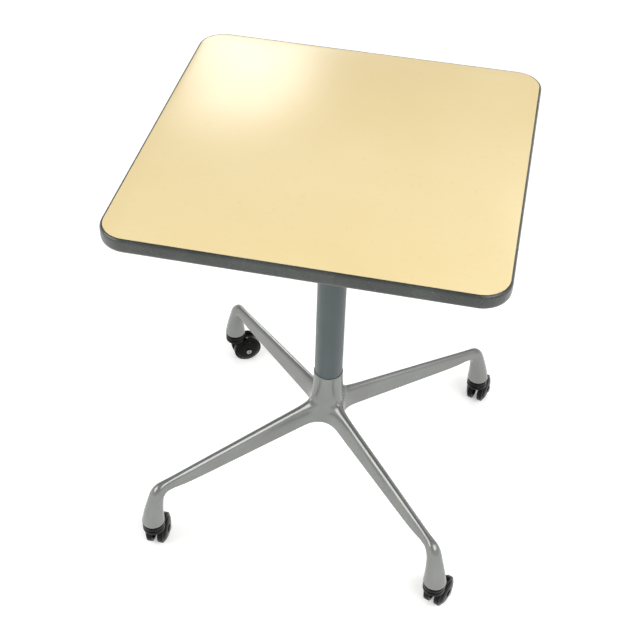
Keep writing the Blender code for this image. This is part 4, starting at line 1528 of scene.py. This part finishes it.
@dataclass
class Studio:
    """The camera at the photograph's angle, a pale floor, a pale world and the soft boxes."""

    camera_at: tuple[float, float, float] = (0.231691, -1.325634, 1.588452)
    azimuth: float = math.radians(10.599)
    elevation: float = math.radians(42.703)
    roll: float = math.radians(1.957)
    focal_pixels: float = 1210.938
    sensor: float = 36.0
    clip_end: float = 200.0
    floor_side: float = 60.0
    floor_drop: float = 0.0002
    floor_colour: str = "#F6F6F5"
    floor_lift: float = 0.33
    far_lift: float = 0.62
    lift_start: float = 1.2
    lift_end: float = 3.4
    horizon_level: float = 1.0
    sky_level: float = 0.36
    sky_start: float = 0.50

    def build(self) -> None:
        """Sets the whole stage."""
        self.camera()
        self.floor()
        self.world()
        for lamp in (
            Lamp("back_window", 107.3, 24.8, 6.0, 1.1, 2.1, 44.0, (-0.20, 0.20, 0.66)),
            Lamp("front_window", -40.0, 41.0, 2.6, 2.2, 1.3, 38.0, (0.0, 0.0, 0.15)),
            Lamp("right_window", 2.0, 32.0, 2.6, 0.8, 0.7, 3.4, (0.0, 0.0, 0.15)),
            Lamp("left_window", 210.0, 29.0, 2.6, 2.1, 1.1, 31.0, (0.0, 0.0, 0.15)),
            Lamp("back_wall", 92.0, 48.0, 3.0, 0.9, 0.80, 1.0, (0.0, 0.0, 0.2)),
            Lamp("corner_window", 52.0, 38.0, 1.0, 0.5, 0.5, 1.5, (0.15, 0.15, 0.66)),
            Lamp("ceiling", 100.0, 80.0, 3.0, 3.0, 3.0, 5.0, (0.0, 0.0, 0.6)),
        ):
            lamp.build()
        bpy.context.scene.view_settings.view_transform = "Standard"

    def camera(self) -> None:
        """Places the camera by its own axes: right, up and back."""
        flat, rise = math.cos(self.elevation), math.sin(self.elevation)
        back = Vector((math.sin(self.azimuth) * flat, -math.cos(self.azimuth) * flat, rise))
        right = (-back).cross(Vector(UPWARD)).normalized()
        up = right.cross(-back)
        tilted_right = math.cos(self.roll) * right + math.sin(self.roll) * up
        tilted_up = -math.sin(self.roll) * right + math.cos(self.roll) * up
        lens = bpy.data.cameras.new("photo_camera")
        lens.sensor_width = self.sensor
        lens.lens = self.focal_pixels * self.sensor / PHOTO_PIXELS
        lens.clip_end = self.clip_end
        camera = placed("photo_camera", lens)
        turn = Matrix((tilted_right, tilted_up, back)).transposed().to_4x4()
        camera.matrix_world = Matrix.Translation(self.camera_at) @ turn
        bpy.context.scene.camera = camera

    def floor(self) -> None:
        """A wide pale floor, brighter to the camera with distance, which keeps the object's shadow."""
        bm = bmesh.new()
        bmesh.ops.create_grid(bm, x_segments=1, y_segments=1, size=self.floor_side / 2)
        bmesh.ops.translate(bm, verts=bm.verts, vec=(0.0, 0.0, -self.floor_drop))
        floor = as_object("floor", bm)
        material = bpy.data.materials.new("pale_floor")
        tree = blank_tree(material)
        matt = add_node(tree, "ShaderNodeBsdfDiffuse", inputs={"Color": linear(self.floor_colour)})
        rays = add_node(tree, "ShaderNodeLightPath").outputs
        mirrored = combined(tree, "MAXIMUM", rays["Is Glossy Ray"], rays["Is Transmission Ray"])
        shown = combined(tree, "MAXIMUM", rays["Is Camera Ray"], mirrored)
        place = add_node(tree, "ShaderNodeTexCoord").outputs["Object"]
        reach = add_node(tree, "ShaderNodeVectorMath", {"operation": "LENGTH"}, {0: place}).outputs["Value"]
        span, lifts = (self.lift_start, self.lift_end), (self.floor_lift, self.far_lift)
        strength = combined(tree, "MULTIPLY", shown, remapped(tree, reach, span, lifts))
        glow = add_node(tree, "ShaderNodeEmission", inputs={"Strength": strength})
        shaders = {0: matt.outputs["BSDF"], 1: glow.outputs["Emission"]}
        both = add_node(tree, "ShaderNodeAddShader", inputs=shaders).outputs["Shader"]
        add_node(tree, "ShaderNodeOutputMaterial", inputs={"Surface": both})
        floor.data.materials.append(material)

    def world(self) -> None:
        """A plain world: white at the horizon, and dimmer overhead."""
        world = bpy.data.worlds.new("pale_world")
        bpy.context.scene.world = world
        tree = blank_tree(world)
        way = add_node(tree, "ShaderNodeTexCoord").outputs["Generated"]
        height = add_node(tree, "ShaderNodeSeparateXYZ", inputs={"Vector": way}).outputs["Z"]
        level = remapped(tree, height, (0.0, self.sky_start), (self.horizon_level, self.sky_level))
        inputs = {"Color": linear("#FFFFFF"), "Strength": level}
        sky = add_node(tree, "ShaderNodeBackground", inputs=inputs)
        add_node(tree, "ShaderNodeOutputWorld", inputs={"Surface": sky.outputs["Background"]})


def dress_nodes() -> None:
    """Gives every node that stays the finish of its slot."""
    slots = {part["node"]: Slot(part["material_slot"]) for part in frame["record"]["subparts"]}
    for name, node in frame["nodes"].items():
        material = FINISHES[slots[name]].material()
        if not node.material_slots:
            node.data.materials.append(material)
        for place in node.material_slots:
            place.material = material
        if not node.hide_render:
            LOG.info("%s keeps its shape, as %s", name, material.name)


def main() -> None:
    """Builds every sub-assembly in order, then the stage."""
    logging.basicConfig(level=logging.INFO, format="%(name)s: %(message)s")
    assemblies: list[Assembly] = [TableTop(), Column(), BaseCasting()]
    assemblies += [Caster(corner) for corner in Corner]
    for assembly in assemblies:
        assembly.build()
    dress_nodes()
    Studio().build()


if __name__ == "__main__":
    main()
